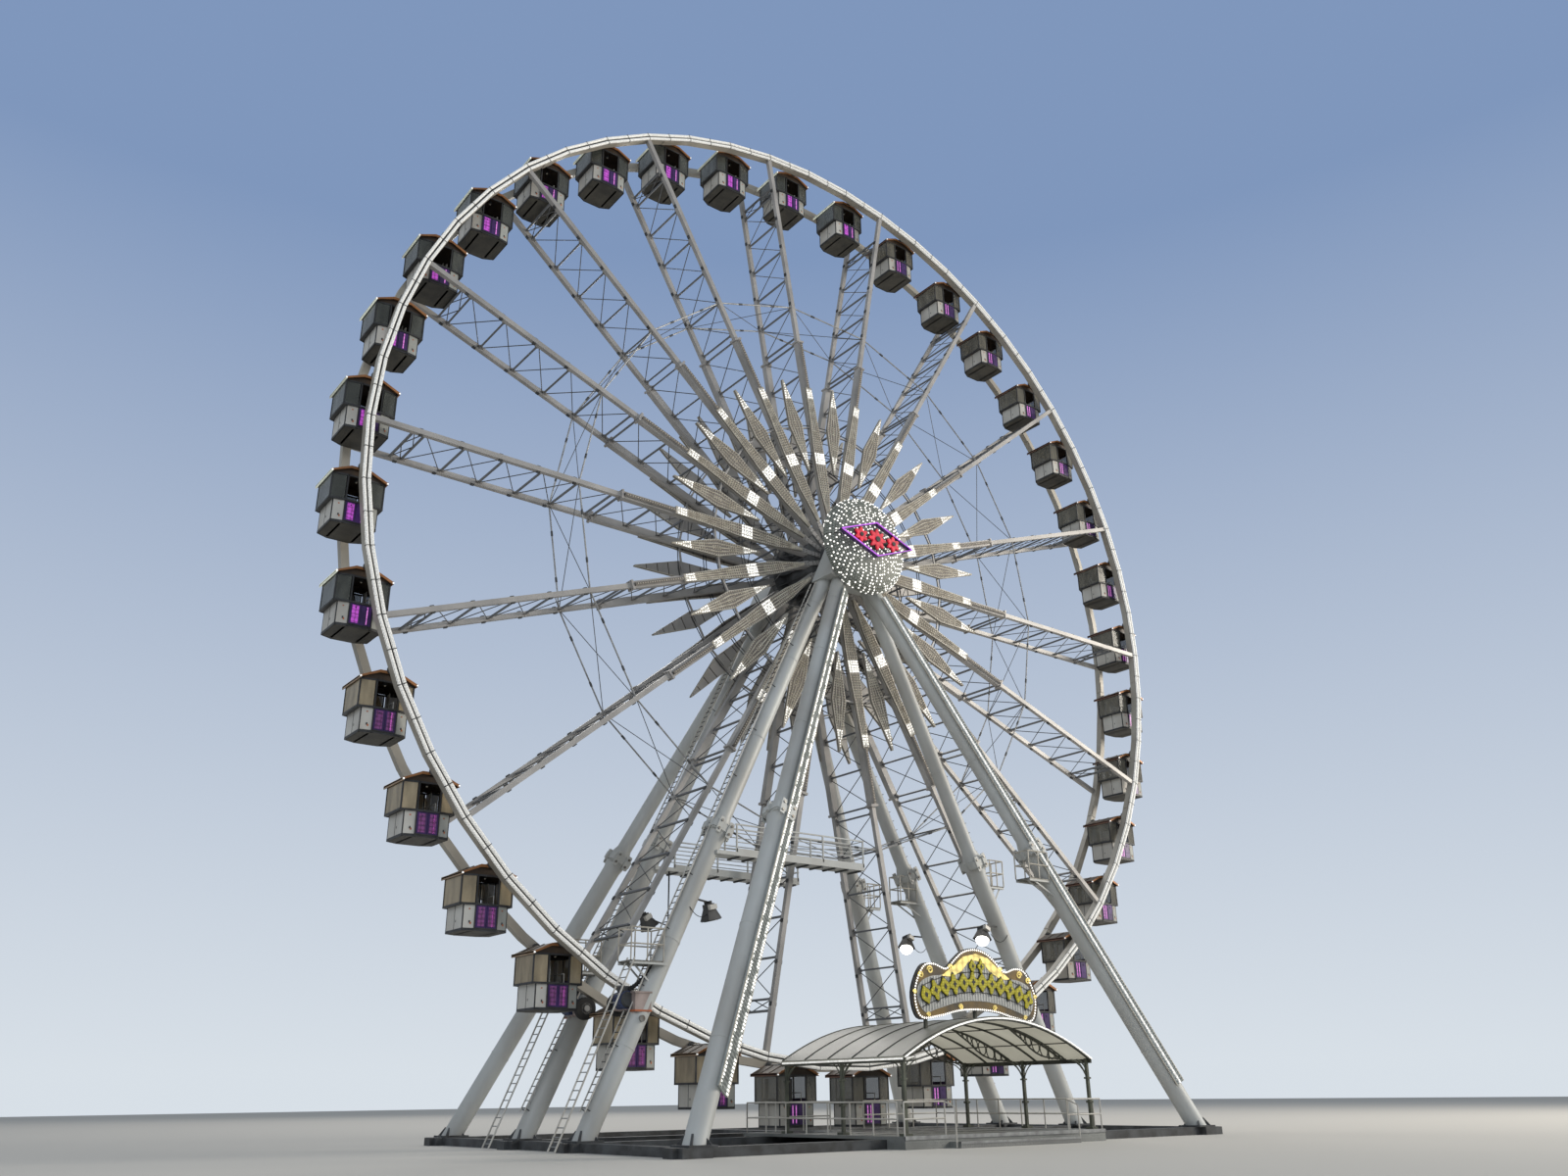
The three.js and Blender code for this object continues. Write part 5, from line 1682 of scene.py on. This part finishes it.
# A closed smooth line through the points given for the right half and their mirror image
def smoothLoop(right, per=5):
    points = right + [(-x, z) for x, z in reversed(right) if x > 0]
    loop = []
    for at in range(len(points)):
        p0, p1, p2, p3 = (Vector(points[(at + shift) % len(points)]) for shift in (-1, 0, 1, 2))
        for t in (step / per for step in range(per)):
            loop.append(0.5 * (2 * p1 + (p2 - p0) * t + (2 * p0 - 5 * p1 + 4 * p2 - p3) * t * t
                               + (3 * p1 - p0 - 3 * p2 + p3) * t ** 3))
    return loop


def shrunk(loop, share):
    centre = Vector((0, 2.55))
    return [centre + (point - centre) * share for point in loop]


def rowHeight(x):
    return signBoard["rowTop"] - signBoard["rowBend"] * x * x


def boardFrame(shape, outer, field):
    # dark backing, frame with painted gold reflections in patches, barred field, and the gold crest with a
    # glowing painted highlight
    for loop, back, face, finish in (
            (outer, 0.03, -0.018, "floodDark"), (shrunk(outer, 0.975), -0.016, -0.026, "signFrame"),
            (field, -0.024, -0.034, "signBack"), (signBoard["crest"], -0.030, -0.052, "signGold")):
        addPlate(shape, loop, boardY + face, boardY + back, finish)
    for x in spread(-1.37, 1.37, signBoard["bars"] + 1):
        heights = [between(a.y, b.y, (x - a.x) / (b.x - a.x)) for a, b in edges(field)
                   if (a.x < x) != (b.x < x)]
        addBox(shape, (x - 0.008, boardY - 0.042, min(heights) + 0.01),
               (x + 0.008, boardY - 0.036, max(heights) - 0.01), "signGrid")
    for x in (-1.2, 0, 1.2):
        addBar(shape, (x, boardY + 0.06, archHeight(x)), (x, boardY + 0.06, 2.5), 0.05, 0.05, "archIron")


def alongPath(path, pitch):
    places, travelled, wanted = [], 0.0, 0.0
    for start, end in zip(path, path[1:]):
        length = (end - start).length
        while wanted < travelled + length:
            places.append(start.lerp(end, (wanted - travelled) / length))
            wanted += pitch
        travelled += length
    return places


# Four-petal flowers and split lozenges, each on a larger dark plate that is a painted shadow
def boardMotifs(shape):
    y, (wide, tall), half = boardY - 0.050, signBoard["motifSize"], signBoard["motifHalf"]
    places = [(x, rowHeight(x), 1.0) for x in spread(-half, half, signBoard["motifs"])]
    places += [(x, z, 0.68) for x, z in signBoard["crestMotifs"]]
    for number, (x, z, size) in enumerate(places):
        outline = petalRing(4, 1.12) if number % 2 else signBoard["lozenge"]
        place = Matrix.Translation((x, 0, z)) @ Matrix.Rotation(0.31 * x, 4, "Y")
        # a larger dark plate behind as painted shadow, then the yellow motif, then its dark middle
        for grow, low, high, finish in ((1.22, -0.006, 0.004, "floodDark"),
                                        (1.0, -0.026, -0.005, "signYellow"),
                                        (0.34, -0.030, -0.025, "floodDark")):
            grown = [(a * wide * size * grow, b * tall * size * grow) for a, b in outline]
            addPlate(shape, grown, y + low, y + high, finish, place)


def scroll(hand, centreX, centreZ, size):
    turns = [round2(size * (1 - 0.75 * share), 8.5 * share) for share in spread(0, 1, 19)]
    return [(hand * (centreX + x), boardY - 0.034, centreZ + z) for x, z in turns]


outer, field = smoothLoop(signBoard["outline"]), smoothLoop(signBoard["field"])
bulbLine = [Vector((x, boardY - 0.022, z)) for x, z in shrunk(outer, signBoard["bulbInset"])]
bulbPlaces = alongPath(bulbLine + bulbLine[:1], signBoard["bulbPitch"])
wires = [[(x, boardY - 0.046, rowHeight(x) + lift) for x in spread(-1.36, 1.36, 17)]
         for lift in signBoard["wires"]]
makePiece("show_board", built(boardFrame, outer, field))
makePiece("show_board_motifs", built(boardMotifs))
# gold scrolls with a glowing painted highlight
makeRods("show_board_scrolls", [scroll(hand, *place) for hand in hands for place in signBoard["scrolls"]],
         0.011, "signGold", count=6)
makeRods("show_board_wires", wires, 0.006, "floodDark", count=5)
makeStuds("show_board_bulbs", [(point, (0, -1, 0)) for point in bulbPlaces], bulb, signBoard["bulbSize"],
          "bulbLit")
print("show board made")


# Deck: nosing, joints, kick plates and handrails beside the way in and along the back edge
deck = {
    "half": 2.40, "front": -4.82, "back": -0.52, "top": 0.19, "stepHalf": 1.44, "stepDepth": 0.25,
    "stepTop": 0.095, "rail": 0.50, "post": 0.013, "postPitch": 0.62, "joint": 0.006, "panels": 6,
    "gateHalf": 0.42,
}


def deckFittings(shape):
    half, front, back, top, joint = (deck[label] for label in ("half", "front", "back", "top", "joint"))
    step, edge, low = deck["stepHalf"], front - deck["stepDepth"], deck["stepTop"]
    boxes = [(x - joint, x + joint, front + 0.02, back - 0.02, top, top + 0.003)
             for x in spread(-half, half, deck["panels"] + 1)[1:-1]]
    boxes += [(-half + 0.02, half - 0.02, y - joint, y + joint, top, top + 0.003)
              for y in spread(front, back, 5)[1:-1]]
    nosing = [(-half, half, front - 0.012, front + 0.02, top - 0.05, top + 0.006),
              (-half, half, back - 0.02, back + 0.012, top - 0.05, top + 0.006),
              (-step, step, edge - 0.006, edge + 0.03, low - 0.03, low + 0.005)]
    for finish, group in (("floodDark", boxes), ("galvanised", nosing)):
        for x0, x1, y0, y1, z0, z1 in group:
            addBox(shape, (x0, y0, z0), (x1, y1, z1), finish)


def deckRails():
    rails, front, rear, top = [], deck["front"], deck["back"] - 0.06, deck["top"]
    high, step = top + deck["rail"], deck["stepHalf"] + 0.04
    for hand in hands:
        side = hand * (deck["half"] - 0.03)
        for start, end in (((side, front + 0.20), (side, rear)),
                           ((side, rear), (hand * deck["gateHalf"], rear)),
                           ((side, front + 0.04), (hand * step, front + 0.04))):
            start, end = Vector(start), Vector(end)
            rails += [[(*start, z), (*end, z)] for z in (top + deck["rail"] * 0.5, high)]
            posts = max(1, round((end - start).length / deck["postPitch"])) + 1
            rails += [[(*start.lerp(end, share), z) for z in (top, high)] for share in spread(0, 1, posts)]
    return rails + [[(hand * step, front + 0.04, high), (hand * step, front - 0.20, high - 0.09),
                     (hand * step, front - 0.20, 0.01)] for hand in hands]


makePiece("deck_fittings", built(deckFittings))
makeRods("deck_rails", deckRails(), deck["post"], "cabinWhite")
print("deck made")


# Carried-over construction gets its finishes
cadFinishes = {
    "fanPaint": "spoke_fan_a spoke_fan_b spoke_fan_c", "rimPaint": "rim_front rim_back",
    "hubSteel": "hub_drum", "darkSteel": "base_frame", "deckPlate": "boarding_deck",
    "legPaint": "bearing_head_front bearing_head_back catwalk_front catwalk_back",
}
for finish, names in cadFinishes.items():
    for name in names.split():
        for slot in frame["nodes"][name].material_slots:
            slot.material = finishes[finish]


# Floor, backdrop, and lights as name, place, target, size, power and colour
studio = {
    "floor": 90, "floorColour": (0.60, 0.58, 0.54), "fill": (0.34, 0.38, 0.43), "skyStrength": 0.95,
    "sky": ((0.72, 0.78, 0.84), (0.225, 0.325, 0.53), 0.02, 0.60),
    "lights": (("soft light right", (34, -22, 20), (0, 0, 11), 16, 12000, (1.0, 0.93, 0.82)),
               ("soft light left", (-34, -24, 26), (0, 0, 10), 24, 3200, (0.90, 0.95, 1.0)),
               ("soft light back", (16, 36, 34), (0, 0, 12), 22, 6000, (1.0, 0.95, 0.88))),
}


def addFloor():
    half = studio["floor"]
    corners = [(-half, -half, 0), (half, -half, 0), (half, half, 0), (-half, half, 0)]
    mesh = newMesh("floor", corners, (), [(0, 1, 2, 3)])
    material, tree, shader = newMaterial("floor")
    setInputs(tree, shader, {"Base Color": (*studio["floorColour"], 1), "Roughness": 0.8})
    mesh.materials.append(material)
    addToScene("floor", mesh)


def addArea(name, place, target, size, power, colour):
    data = bpy.data.lights.new(name, "AREA")
    data.size, data.energy, data.color = size, power, colour
    item = addToScene(name, data)
    item.location = place
    item.rotation_euler = (Vector(target) - Vector(place)).to_track_quat("-Z", "Y").to_euler()


def addWorld():
    world = bpy.data.worlds.new("studio")
    world.use_nodes = True
    tree = world.node_tree
    seen = addNode(tree, "ShaderNodeLightPath")["Is Camera Ray"]
    height = addNode(tree, "ShaderNodeSeparateXYZ",
                     {0: addNode(tree, "ShaderNodeTexCoord")["Generated"]})["Z"]
    colour = mixNode(tree, seen, studio["fill"], rampNode(tree, height, *studio["sky"]))
    setInputs(tree, tree.nodes["Background"], {"Color": colour, "Strength": studio["skyStrength"]})
    bpy.context.scene.world = world


addFloor()
addWorld()
for light in studio["lights"]:
    addArea(*light)
bpy.context.scene.view_settings.view_transform = "Standard"

print("scene ready")
